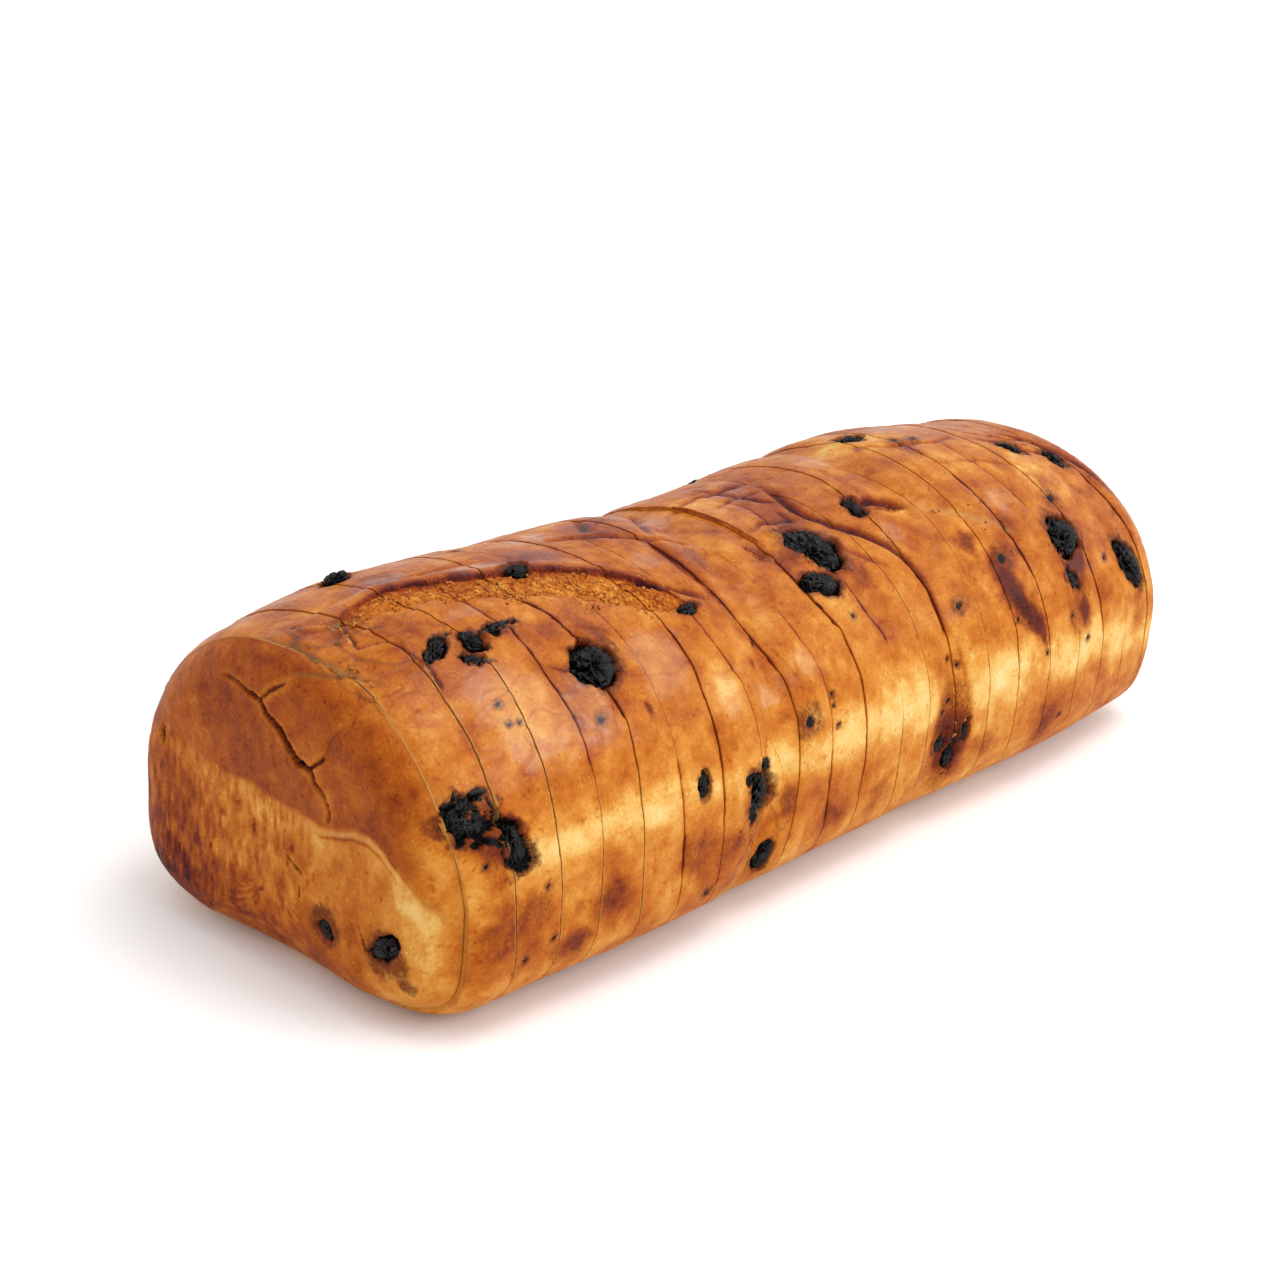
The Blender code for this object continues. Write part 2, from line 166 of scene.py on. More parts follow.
# %% [markdown]
# ### The step on a heel
# The tin's end wall held the dough flat up to its rim, and above the rim the dough sprang
# out a little. One height along the rim and a soft step over it give that, without a second
# surface to join. The lines on the heel use it too, so that they lie on the crust.

# %% Where a heel's dome stands out over its pale band
RIM_HEIGHT, RIM_DROP_AT_SIDE = 0.040, 0.016
DOME_PROUD, DOME_SLOPE, DOME_TOP, DOME_FADE = 0.0010, 0.020, 0.052, 0.020


def rim_height(y):
    """Height of the line where the dome meets the tin's pale band on a heel."""
    return RIM_HEIGHT - RIM_DROP_AT_SIDE * smooth((np.abs(y) - 0.030) / 0.022)


def dome_proud(y, z):
    """How far a heel's dome stands out over the band below it."""
    over = smooth((z - rim_height(y)) / DOME_SLOPE + 0.5)
    return DOME_PROUD * over * (1.0 - smooth((z - DOME_TOP) / DOME_FADE))


# %% [markdown]
# ## Random bumps that are the same every time
# Dough is uneven at every scale. Lattice noise gives that: each whole-number cell corner
# has a fixed random value and the points between are blended. It depends only on position
# and seed, so neighbouring slices agree along their cuts.

# %% Lattice noise for whole arrays
HASH = (73856093, 19349663, 83492791, 2654435761)


def lattice_noise(points, size, seed):
    """Smooth random values between -1 and 1, with bumps about as wide as size."""
    scaled = points / size + 13.7 * seed
    cell = np.floor(scaled).astype(np.int64)
    blend = smooth(scaled - cell)
    total = np.zeros(points.shape[:-1])
    for corner in itertools.product((0, 1), repeat=3):
        near = cell + np.array(corner)
        mixed = near[..., 0] * HASH[0] ^ near[..., 1] * HASH[1] ^ near[..., 2] * HASH[2]
        mixed = (mixed ^ (seed * HASH[3])) & 0xFFFFFFFF
        mixed = ((mixed ^ (mixed >> 15)) * 2246822519) & 0xFFFFFFFF
        mixed = ((mixed ^ (mixed >> 13)) * 3266489917) & 0xFFFFFFFF
        value = (mixed >> 8) / float(1 << 23) - 1.0
        weight = np.where(np.array(corner) == 1, blend, 1.0 - blend).prod(axis=-1)
        total += value * weight
    return total


def rough_noise(points, size, seed, octaves=3):
    """Lattice noise with finer and fainter bumps added."""
    layers = [lattice_noise(points, size / 2**i, seed + i) / 2**i for i in range(octaves)]
    return sum(layers) / sum(0.5**i for i in range(octaves))


sample = rough_noise(np.random.default_rng(1).uniform(0, 1, (1000, 3)), 0.1, 3)
print("noise spread:", round(float(sample.std()), 2))

# %% [markdown]
# ## Lines on the crust
# A tear, a fold and a crack are all lines across the crust with a profile across them. A
# line is given by a few points, as station and angle, or as y and z on a heel's face. They
# were read off the photo. For the tear's lips, the first slice's broken edge and a few folds
# by it, a separate script turned the points picked in the photo into these places. The
# distance to a line is measured in space, so the same code works over the rounded corners.

# %% Distance from a line that lies on the crust
def crust_line(stops, step=0.0012):
    """Evenly spaced points on the crust through stops of (x in mm, angle in degrees)."""
    x, degrees = np.array(stops, float).T
    coarse = dough_point(x * MM, degrees)
    lengths = np.linalg.norm(np.diff(coarse, axis=0), axis=1)
    reach = np.concatenate([[0.0], np.cumsum(lengths)])
    places = np.linspace(0.0, reach[-1], max(int(reach[-1] / step), 2))
    return dough_point(np.interp(places, reach, x) * MM, np.interp(places, reach, degrees))


def heel_line(stops, end, step=0.0012):
    """Evenly spaced points on a heel's face through stops of (y, z) in mm."""
    y, z = np.array(stops, float).T * MM
    reach = np.concatenate([[0.0], np.cumsum(np.hypot(np.diff(y), np.diff(z)))])
    places = np.linspace(0.0, reach[-1], max(int(reach[-1] / step), 2))
    y, z = np.interp(places, reach, y), np.interp(places, reach, z)
    return np.stack([end * (LENGTH / 2 + dome_proud(y, z)), y, z], axis=-1)


def measure_from(line, points, normals, reach):
    """Signed distance to a line and the share of its length, for points within reach.

    The distance is positive on the left of someone walking the line on the crust.
    """
    low, high = line.min(axis=0) - reach, line.max(axis=0) + reach
    near = np.all((points > low) & (points < high), axis=-1)
    distance = np.full(points.shape[:-1], reach * 4)
    share = np.zeros(points.shape[:-1])
    if not near.any():
        return distance, share
    here, up = points[near], normals[near]
    best = np.full(len(here), np.inf)
    sided = np.zeros(len(here))
    progress = np.zeros(len(here))
    count = len(line) - 1
    for i in range(count):
        start, run = line[i], line[i + 1] - line[i]
        part = np.clip((here - start) @ run / (run @ run), 0.0, 1.0)
        offset = here - (start + part[:, None] * run)
        apart = np.linalg.norm(offset, axis=1)
        side = np.where(np.einsum("ij,ij->i", np.cross(up, run), offset) < 0, -1.0, 1.0)
        closer = apart < best
        best = np.where(closer, apart, best)
        sided = np.where(closer, apart * side, sided)
        progress = np.where(closer, (i + part) / count, progress)
    distance[near] = sided
    share[near] = progress
    return distance, share


# %% [markdown]
# ## Where the raisins sit
# A raisin lies flat in the crust with its long axis turned one way or another. Its seat is
# a small frame of axes on the dough: along the raisin, across it and straight out. The same
# seats shape the pockets, stain the crust round them and place the fruit, so they agree.

# %% The raisins and their seats
RAISINS = (
    ("round", -78.6, 48.0, 12.5, 10.5, 15, 1.8),
    ("crown_large", 8.3, 60.5, 16.0, 11.5, -68, 1.8),
    ("crown_low", 0.5, 48.3, 11.0, 6.6, -15, 1.5),
    ("far_round", 90.1, 36.6, 12.4, 11.0, 10, 1.8),
    ("far_corner", 115.8, 21.3, 15.0, 7.5, -62, 1.5),
    ("tear_end", -42.9, 53.8, 6.4, 3.2, 8, 1.0),
    ("skyline", -101.7, 114.0, 7.5, 6.0, 0, 1.9),
    ("tear_lip", -71.7, 85.6, 6.5, 5.0, 10, 1.4),
    ("torn_left", -110.0, 67.4, 9.5, 3.8, 33, 0.9),
    ("torn_middle", -101.8, 65.6, 6.2, 6.0, 20, 1.1),
    ("torn_right", -94.1, 66.0, 8.2, 3.6, 8, 0.9),
    ("torn_low", -105.4, 60.0, 4.0, 3.6, -30, 0.9),
    ("corner_large", -124.6, 25.2, 10.5, 8.0, 15, 1.2),
    ("corner_right", -115.8, 15.3, 7.5, 9.0, 10, 1.0),
    ("side_tall", -41.7, 3.6, 10.5, 8.5, -66, 1.0),
    ("side_base", -37.0, -15.5, 8.0, 5.0, 80, 1.0),
    ("side_slim", -61.5, 12.0, 7.0, 3.6, 85, 0.7),
    ("crease_upper", 28.2, -6.5, 6.5, 4.6, 65, 0.9),
    ("crease_lower", 31.6, -11.5, 6.5, 3.8, 80, 0.9),
    ("crease_right", 35.9, -4.5, 7.0, 3.4, 85, 0.8),
    ("far_under", 85.2, 24.3, 6.5, 4.6, -50, 0.8),
    ("far_top_left", 105.3, 74.0, 8.5, 6.5, -35, 1.2),
    ("far_top_right", 116.8, 64.0, 9.5, 5.0, 80, 1.0),
    ("by_the_eye", 31.2, 69.0, 6.5, 5.0, 70, 0.8),
    ("skyline_far", 63.5, 101.5, 8.0, 6.0, 0, 0.8),
    ("back_a", -88.0, 150.0, 9.0, 7.0, 30, 1.2),
    ("back_b", -20.0, 168.0, 10.0, 6.5, -60, 1.2),
    ("back_c", 40.0, 143.0, 9.5, 8.5, 10, 1.5),
    ("back_d", 90.5, 176.0, 9.0, 5.5, 75, 1.0),
)
HEEL_RAISINS = (
    ("near_low", -32.5, 19.5, 8.5, 4.4, -30, 0.9, -1),
    ("near_mid", -15.5, 16.8, 5.5, 4.2, 40, 0.8, -1),
    ("far_heel_a", 18.0, 46.0, 9.5, 7.5, 25, 1.2, 1),
    ("far_heel_b", -20.0, 24.0, 8.0, 5.5, -40, 1.0, 1),
)
RAISIN_THICKNESS, THINNEST_RAISIN = 0.62, 3.0


def unit(vector):
    return vector / np.linalg.norm(vector)


def crust_axes(x, degrees):
    """Place, outward normal and length direction of the dough at one spot."""
    place = dough_point(x, degrees)
    down_x = dough_point(x + 0.0015, degrees) - dough_point(x - 0.0015, degrees)
    over = dough_point(x, degrees + 2.0) - dough_point(x, degrees - 2.0)
    normal = unit(np.cross(over, down_x))
    if normal @ (place - np.array([x, 0.0, WIDEST_HEIGHT])) < 0:
        normal = -normal
    return place, normal, unit(down_x)


def seat(place, normal, length_dir, turn, size, proud):
    """Centre of a raisin and its axes: along it, across it and out of the crust."""
    side_dir = unit(np.cross(normal, length_dir))
    side_dir = side_dir if side_dir[2] >= 0 else -side_dir
    swing = math.radians(turn)
    long_axis = unit(length_dir * math.cos(swing) + side_dir * math.sin(swing))
    cross_axis = unit(np.cross(normal, long_axis))
    centre = place - normal * (size[2] / 2 - proud * MM)
    return {"centre": centre, "axes": np.array([long_axis, cross_axis, normal]), "size": size}


def raisin_seats():
    """Every raisin's seat by name, on the long surface first and then on the heels."""
    seats = {}
    for name, x, degrees, length, width, turn, proud in RAISINS:
        size = np.array([length, width, max(width * RAISIN_THICKNESS, THINNEST_RAISIN)]) * MM
        seats[name] = seat(*crust_axes(x * MM, degrees), turn, size, proud)
    for name, y, z, length, width, turn, proud, end in HEEL_RAISINS:
        size = np.array([length, width, max(width * RAISIN_THICKNESS, THINNEST_RAISIN)]) * MM
        place, normal = np.array([end * LENGTH / 2, y * MM, z * MM]), np.array([end, 0.0, 0.0])
        seats[name] = seat(place, normal, np.array([0.0, 1.0, 0.0]), turn, size, proud)
    return seats


SEATS = raisin_seats()
print("raisins:", len(SEATS))

# %% [markdown]
# ## The crust's relief
# Everything that pushes the crust in or out is worked out here for whole arrays of points,
# together with how it colours it: how far it is baked, where fruit has stained it, where
# crumb shows, where the egg wash shines, and where shade and a sheen are painted into the
# colour. Each feature has its own short function.

# %% What is kept for every point of the crust
class Crust:
    """Points of the dough with their push along the normal and their looks."""

    def __init__(self, x, degrees, points, normals):
        self.x, self.degrees, self.points, self.normals = x / MM, degrees, points, normals
        self.side = 90.0 - np.abs(degrees - 90.0)
        self.push = np.zeros(points.shape[:-1])
        # The bake and stain masks also take painted shade, and the gloss mask a painted sheen, as the
        # features below add them.
        self.bake = np.full(points.shape[:-1], 0.5)
        self.stain = np.zeros(points.shape[:-1])
        self.crumb = np.zeros(points.shape[:-1])
        self.gloss = np.zeros(points.shape[:-1])
        self.torn = np.zeros(points.shape[:-1])

    def noise(self, size, seed, octaves=3, stretch=(1.0, 1.0, 1.0)):
        return rough_noise(self.points * np.array(stretch), size * MM, seed, octaves)

    def dip(self, amount):
        """Push the crust in by an amount in millimetres."""
        self.push -= amount * MM

    def mark(self, name, amount, shape):
        """Raise a mask towards an amount, wherever a shape between 0 and 1 lies."""
        values = getattr(self, name)
        values += np.clip(amount - values, 0.0, None) * shape

    def blot(self, x, degrees, length, width, turn=0.0, edge=0.5, ragged=0.3):
        """A soft oval patch on the crust, 1 inside and 0 outside, with a ragged edge."""
        place, normal, down = crust_axes(x * MM, degrees)
        shape = np.zeros(self.points.shape[:-1])
        near = np.linalg.norm(self.points - place, axis=-1) < max(length, width) * 0.9 * MM
        if not near.any():
            return shape
        over = np.cross(down, normal)
        over = over if over[2] >= 0 else -over
        swing = math.radians(turn)
        local = (self.points[near] - place) / MM
        first = local @ (down * math.cos(swing) + over * math.sin(swing)) / (length / 2)
        second = local @ (over * math.cos(swing) - down * math.sin(swing)) / (width / 2)
        grain = rough_noise(self.points[near], max(width, 2.0) * 0.35 * MM, 47, 3)
        away = np.hypot(first, second) + ragged * grain
        shape[near] = 1.0 - smooth((away - 1.0 + edge / 2) / edge)
        return shape


# %% [markdown]
# ### The bake
# The tin's rim keeps a band of the side pale, the metal below browns the side evenly and the
# open oven browns the dome most. The band wanders and is broken where slices were pressed,
# so its height, half width and brightness are set at stations along the loaf.

# %% The bake: pale band, golden side, brown dome
BAND = (
    (-135, 9, 5, 0.10), (-122, 9, 5, 0.08), (-114, 11, 5, 0.35), (-108, 11, 5.5, 0.85),
    (-99, 11, 6.5, 0.88), (-93, 11, 5, 0.70), (-84, 11, 6.5, 0.88), (-73, 11, 6.5, 0.90),
    (-67, 11, 6, 0.60), (-60, 10, 5, 0.50), (-52, 11, 4.5, 0.35), (-42, 8, 5, 0.25),
    (-33, 10, 6, 0.95), (-27, 8, 5, 0.50), (-21, 6, 5, 0.60), (-15, 9.5, 7, 1.00),
    (-5, 9.5, 7, 1.00), (-1.5, 9, 6, 0.80), (1.5, 6, 5, 0.40), (4, 8.5, 7.5, 0.95),
    (12, 8.5, 7.5, 1.00), (21, 8.5, 7.5, 0.95), (26, 8, 5, 0.45), (34, 6, 5, 0.35),
    (39, 7, 7.5, 0.90), (50, 7, 7.5, 1.00), (59, 7, 7.5, 0.95), (63, 6, 6, 0.45),
    (67, 5.5, 6, 0.50), (72, 5, 7, 0.90), (85, 5, 7, 0.95), (94, 5, 7, 0.85),
    (98, 3, 6, 0.55), (103, 2.5, 7, 0.85), (112, 1, 7, 0.80), (119, -1, 6.5, 0.70),
    (135, -3, 6, 0.60),
)
GLOSS_EDGE = ((-135, 24), (-105, 24), (-88, 24), (-78, 23), (-50, 22), (0, 22), (135, 20))


def shade_bake(c):
    """How dark the crust is, from 0 where the tin kept it pale to 1 where it is nearly burnt."""
    x = np.where(c.degrees > 90, 8.0 - 0.93 * c.x, c.x)
    stations, centres, halves, strengths = np.array(BAND).T
    wander = 2.2 * c.noise(13, 21) + 0.9 * c.noise(3.5, 24)
    height = c.side + wander
    across = (height - np.interp(x, stations, centres)) / np.interp(x, stations, halves)
    band = np.interp(x, stations, strengths) * np.exp(-np.abs(across) ** 2.6)
    over = smooth((height - 12.0) / 20.0)
    under = smooth((4.0 - height) / 12.0)
    under = under * (1.0 - 0.8 * smooth((x + 14.0) / 8.0) * smooth((70.0 - x) / 8.0))
    foot = smooth((-12.0 - height) / 6.0)
    dome = smooth((height - 45.0) / 30.0)
    c.bake = 0.33 + 0.08 * over + 0.10 * under + 0.02 * dome - 0.06 * foot
    c.bake += 0.15 * c.noise(9, 27) + 0.08 * c.noise(2.4, 30) + 0.10 * under * c.noise(7, 33)
    c.bake = c.bake * (1.0 - band) + (0.075 + 0.06 * c.noise(5, 35)) * band
    edges = np.array(GLOSS_EDGE, float).T
    c.gloss = smooth((c.side + 0.4 * wander - np.interp(x, *edges)) / 5.0)
    c.gloss *= 0.50 + 0.25 * c.noise(8, 37)


# %% [markdown]
# ### The crust's own unevenness
# Even where nothing tore, the crust swells and dips, wrinkles as it cools and has a fine
# grain. A bump in the material would do for the grain but would leave the outline smooth,
# so all three are layers of noise that move the mesh.

# %% Uneven dough, wrinkles and pores
def shape_dough(c):
    """Swellings as broad as a thumb, then softer wrinkles, then the grain of the crust."""
    above = smooth((c.points[..., 2] / MM - 2.0) / 6.0)
    creases = 1.0 - np.abs(c.noise(6.5, 9, 2, (0.55, 1.0, 1.0)))
    c.dip(above * (0.34 + 0.38 * c.noise(20, 1) + 0.18 * c.noise(7, 4)))
    c.dip(above * 0.16 * smooth((creases - 0.90) / 0.10) * (0.4 + c.gloss))
    c.dip(above * 0.05 * c.noise(1.3, 8, 2) * (1.3 - c.gloss))
    c.bake += 0.07 * smooth((creases - 0.92) / 0.08) * c.gloss


# %% [markdown]
# ### Stains, bruises and bare patches
# Raisins bleed a purple-brown juice into the dough round them, and some lie just under the
# skin and show as a bruise. Small black dots are bits of skin. All are ovals with ragged
# edges: a place, a length and a width, a turn and a strength. The strengths of the lighter
# and darker ones were set by comparing renders with the photo.

# %% Patches of stain, of a lighter or darker crust, of painted sheen, and small dots
STAINED = (
    (-110.8, -1, 10, 8, 0, 0.42), (-120.5, -6, 9, 6, 0, 0.40), (-89.2, -5.5, 7, 8, 0, 0.48),
    (-63.5, -2.5, 9, 8, 0, 0.42), (-98.5, -14.7, 7.5, 5.5, 0, 0.50), (-51.8, -6, 6, 6, 0, 0.40),
    (-31.7, -2.6, 5, 7, 0, 0.50), (73, -13.7, 7, 8, 0, 0.50), (-72.5, 56, 6, 7, 0, 0.45),
    (-25.2, 73, 8, 7, 20, 0.45), (-71, 33, 1.8, 3.4, 0, 0.6), (69, 84, 5, 6, 0, 0.45),
    (58, 92.7, 3, 3.4, 0, 0.45), (-84, 91, 5, 3.4, 0, 0.4), (62.5, 22, 19, 8, -58, 0.55),
    (62, 37, 11, 4.5, 0, 0.40), (53, 44.3, 5, 6, 0, 0.55), (30.5, -8, 12, 22, 0, 0.50),
    (31.5, -5, 8, 15, 0, 1.2), (63.5, 20, 13, 4, -58, 1.2), (60, 30, 7, 4, -50, 1.0),
    (90, 27, 5, 7, -60, 0.9), (88, 15, 4, 6, 0, 0.9), (-133, 30, 5, 8, 0, 1.0), (-117, 17, 6, 7, 0, 1.1),
    (-99, 16, 2.6, 3, 0, 0.3), (-98.7, -5.4, 2.6, 3, 0, 0.3), (-131.5, 25, 4.5, 7, 0, 0.5),
    (-121, 15.5, 8, 6, -50, 0.5), (-34.5, 34, 2, 2.6, 0, 0.5), (-44, 1, 8, 12, 0, 0.45),
    (90, 24, 13, 18, -60, 0.38), (85, 12, 9, 7, 0, 0.42), (100, 55, 9, 6, 0, 0.35),
    (14, 47, 7, 8, 0, 0.35), (0, 60, 14, 6, 0, 0.40), (-120, 4, 6, 8, 0, 0.3),
    (116, 8, 6, 9, 0, 0.35), (45, -12, 9, 7, 0, 0.35), (5, -13, 8, 6, 0, 0.35),
    (-15, -12, 8, 7, 0, 0.3), (-96, 150, 10, 8, 0, 0.4), (-50, 190, 12, 9, 20, 0.4),
    (10, 172, 9, 9, 0, 0.35), (62, 185, 12, 8, -30, 0.45), (108, 150, 9, 9, 0, 0.4),
)
# The lighter patches at -104/44, -100/35, -47/30, -34/25 and -19/30 lie under the sheen patches and add
# to the painted highlight there.
DARKER = (
    (-122, 93, 14, 14, 0, 0.14), (-112, 78, 12, 9, 20, 0.10), (-66, 95, 20, 12, 0, 0.12),
    (-36, 100, 22, 14, 0, 0.20), (-14, 92, 18, 20, 0, 0.06), (12, 80, 12, 30, 0, 0.14),
    (28, 70, 16, 18, 0, 0.12), (60, 78, 30, 18, 0, -0.02), (98, 72, 26, 20, 0, -0.10),
    (120, 60, 16, 30, 0, 0.12), (-86, 62, 10, 8, 0, 0.10), (-75, 42, 12, 12, 0, 0.12),
    (2, 54, 18, 12, 0, 0.08), (92, 34, 20, 16, 0, 0.10), (66, 45, 14, 14, 0, 0.12),
    (-48, 60, 12, 8, 0, -0.14), (50, 54, 24, 8, -40, -0.08), (-15, 75, 8, 12, 0, -0.08),
    (-104, 44, 22, 26, 0, -0.10), (-47, 30, 8, 14, 0, -0.12), (-34, 25, 8, 9, 0, -0.12),
    (-19, 30, 7, 8, 0, -0.10), (-60, 45, 16, 18, 0, -0.05), (22, 42, 18, 20, 0, -0.05),
    (-122, 47, 10, 22, 0, -0.03), (42, 30, 16, 14, 0, -0.06), (80, 60, 16, 10, 0, -0.06),
    (0, 42, 16, 10, 0, -0.12), (-40, 42, 14, 12, 0, -0.12), (-10, 33, 30, 12, 0, -0.09),
    (-20, 18, 9, 6, 0, -0.12), (10, 18, 26, 7, 0, -0.06), (70, 71, 26, 10, 0, -0.12),
    (100, 58, 16, 12, 0, -0.14), (60, 98, 26, 14, 0, -0.20), (2, 100, 16, 10, 0, -0.14),
    (-60, 90, 16, 8, 0, 0.14), (60, 33, 12, 8, 0, 0.14), (20, 101, 10, 8, 0, 0.18),
    (-100, 101, 18, 8, 0, 0.16), (100, 17, 10, 6, 0, 0.10), (-120, 11, 8, 7, 0, 0.10),
    (-100, 35, 16, 12, 0, -0.06), (-113, 56, 20, 9, 0, 0.14), (-120, 42, 9, 10, 0, 0.06),
    (-80, 84, 12, 4, 0, 0.10),
)
DOTS = (
    (-85, 35, 2.0), (-108, 3, 1.2), (-105.4, -11, 1.2), (-123.4, 13, 1.3), (-113, -14, 1.2),
    (-58, -17, 1.9), (-14, 20, 1.1), (-14.3, 17, 0.9), (-13.9, 12, 0.9), (31, 16.3, 1.1),
    (34.2, 13.9, 1.1), (-29.7, 39.4, 1.3), (-107.4, 47, 1.2), (-107.4, 41.6, 1.0),
    (-104.9, 41.2, 1.0), (39.8, 28.7, 2.0), (58.5, 19.6, 1.4), (-46, 9.4, 1.6),
    (81.3, 14.7, 1.4), (88, 7, 1.3), (68.9, 7.9, 1.2), (78.7, -12.7, 1.2), (-62.3, 10.5, 1.5),
    (96.5, 48.5, 3.2), (-23.6, 15.7, 3.6), (61, 36.4, 3.2), (76.8, 89, 2.6), (71, 91, 2.2),
    (30.4, 4.8, 1.8), (28, 2, 1.8), (31, -16, 1.4), (3.3, 36.5, 1.5), (104, 26, 1.4),
    (-70, 110, 1.8), (-5, 140, 1.6), (55, 160, 2.0), (-60, 165, 1.4), (100, 190, 1.6),
)
# Patches of painted sheen on the egg wash: they raise the gloss mask, and the finish screens a pale grey
# over the colour there as a painted highlight.
PAINTED_SHEEN_PATCHES = (
    (-104, 45, 24, 26, 0, 1.0), (-88, 38, 16, 20, 0, 0.8), (-62, 44, 18, 20, 0, 0.9),
    (-47, 30, 8, 15, 0, 0.9), (-34, 25, 8, 9, 0, 0.9), (-19, 30, 6, 8, 0, 0.9),
    (-96, 74, 16, 5, 0, 0.3), (-78, 92, 18, 6, 0, 0.4), (-100, 100, 22, 8, 0, 0.2),
    (-52, 104, 20, 10, 0, 0.3), (-15, 100, 16, 10, 0, 0.4), (12, 100, 14, 14, 0, 0.2),
    (45, 98, 22, 14, 0, 0.2), (80, 102, 24, 12, 0, 0.0), (-40, 74, 10, 8, 0, 0.5),
    (34, 56, 10, 8, 0, 0.4), (75, 52, 14, 10, 0, 0.4), (-60, 140, 30, 20, 0, 0.8),
    (40, 140, 40, 20, 0, 0.8), (100, 130, 20, 20, 0, 0.6), (-104, 140, 20, 22, 0, 0.8),
    (-100, 36, 22, 14, 0, 1.0),
)
SHREDS = (
    (-108.5, 68.4, 8, 1.7, 18), (-112, 66.5, 4, 3, 60), (-96.5, 66.6, 7, 1.9, 5),
    (-91.5, 67.6, 7, 1.5, -8), (-88.3, 66.8, 3, 1.0, -20), (-104.4, 60, 7.5, 2.2, -32),
    (-100.5, 63, 4, 1.0, -60), (-131, 24.5, 5, 4.5, 20), (-127.4, 28.3, 6, 3, 25),
    (-121, 29.6, 5, 2.6, 10), (-124, 21.5, 5, 3.4, -50), (-118.5, 25, 8, 1.2, -70),
    (-117.3, 21, 4, 2.4, 0), (-115.5, 15.6, 6, 2.4, -60), (-120, 17.5, 6, 1.6, -35),
    (-47, 8.5, 2.2, 3, 0), (-40, 10, 3, 5, 60), (-44, -1, 5, 5, 0),
)


def stain_patches(c):
    for x, degrees, length, width, turn, strength in STAINED:
        shape = c.blot(x, degrees, length * 1.15, width * 1.15, turn, 1.5, 0.6)
        c.mark("stain", strength * 0.62, shape)
        c.bake += 0.34 * strength * shape
    for x, degrees, length, width, turn, change in DARKER:
        c.bake += change * c.blot(x, degrees, length, width, turn, 1.4, 0.35)
    # Painted sheen: these patches raise the gloss mask, which paints a highlight into the colour.
    for x, degrees, length, width, turn, strength in PAINTED_SHEEN_PATCHES:
        patch = c.blot(x, degrees, length, width, turn, 1.2, 0.5)
        c.gloss = np.maximum(c.gloss, (0.75 + 0.35 * strength) * patch * (c.gloss > 0.02))
    for x, degrees, size in DOTS:
        c.mark("stain", 0.45, c.blot(x, degrees, size * 2.6, size * 2.2, 30, 1.0, 0.4))
        dot = c.blot(x, degrees, size, size * 0.7, 30, 0.5, 0.25)
        c.mark("stain", 1.0, dot)
        c.dip(0.25 * dot)
    for x, degrees, length, width, turn in SHREDS:
        shred = c.blot(x, degrees, length, width, turn, 0.5, 0.5)
        c.mark("stain", 1.0, shred)
        c.dip(0.6 * shred)


# %% [markdown]
# ### Blisters and broken crust
# Steam lifts the skin into low blisters, and the knife breaks the crust into flakes that
# ride over one another, most of all on the first slice's crown. Loose plates would have to
# be cut out and closed, so each is a patch with a sharp edge that lifts the mesh, and crumb
# shows along the edge, with painted shade at each plate's edge and a painted shadow past the crown's
# broken edge.

# %% Blisters: thin rings of skin that rose from the crust
BLISTERS = ((-107, 47, 8.0, 0.25), (40.4, 29, 5.5, 0.25), (62, 37, 9.0, 0.3), (-60, 58, 6.0, 0.2),
            (12, 30, 5.0, 0.15), (75, 70, 7.0, 0.2), (-95, 35, 6.0, 0.15), (30, 120, 8.0, 0.2))


def raise_blisters(c):
    for x, degrees, size, height in BLISTERS:
        inside = c.blot(x, degrees, size, size * 0.85, 20, 0.35, 0.2)
        c.push += height * MM * inside
        c.bake += 0.07 * 4.0 * inside * (1.0 - inside)


# %% Plates: crust that broke at a cut and lifted, with crumb and painted shade along its edge
PLATES = (
    (-119, 77, 11, 16, 10, 0.50), (-112, 87, 15, 7, 15, 0.45), (-124.5, 90, 8, 12, 0, 0.45),
    (-127, 66, 6, 12, 30, 0.40), (-105, 79, 11, 5, 8, 0.35), (-119, 97, 12, 9, 0, 0.40),
    (-128, 80, 6, 9, 0, 0.35), (-36, 4, 5, 22, 12, 0.30), (113, 80, 12, 9, -30, 0.4),
)
BROKEN_EDGE = ((-117, 50), (-116, 57), (-115.2, 63), (-116.2, 69.5), (-117.2, 75.5),
               (-123, 77.5), (-121.5, 81.5), (-120, 87.5), (-121, 92.2), (-124.5, 98.7),
               (-127, 106))
BROKEN_LINE = crust_line(BROKEN_EDGE)


def lift_plates(c):
    """Small flakes, and the first slice's crown, whose near part rides over the rest."""
    past, _ = measure_from(BROKEN_LINE, c.points, c.normals, 12 * MM)
    past = -past / MM + 0.5 * c.noise(1.6, 92, 2) + 0.4 * c.noise(4, 93)
    window = smooth((c.degrees - 52) / 8.0) * smooth((106 - c.degrees) / 6.0)
    window = window * smooth((c.x + 130.5) / 1.0) * (np.abs(past) < 14)
    c.push += 0.55 * MM * window * (1.0 - smooth((past + 0.25) / 0.5))
    # A painted shadow along the foot of the crown's raised broken edge.
    c.dip(0.45 * window * np.exp(-(((past - 0.35) / 0.45) ** 2)))
    c.bake += 0.40 * window * np.exp(-(((past - 0.30) / 0.42) ** 2))
    flaky = np.clip(c.noise(1.4, 94, 2) * 1.6 + 0.3, 0, 1)
    c.mark("crumb", 0.62, window * flaky * np.exp(-(((past + 0.35) / 0.45) ** 2)))
    for x, degrees, length, width, turn, lift in PLATES:
        inside = c.blot(x, degrees, length, width, turn, 0.16, 0.55)
        edge = 4.0 * inside * (1.0 - inside)
        c.push += lift * MM * inside
        # The plates' edges are painted darker as shade and their tops a little lighter.
        c.bake += 0.20 * edge - 0.03 * inside
        c.mark("crumb", 0.16, edge)
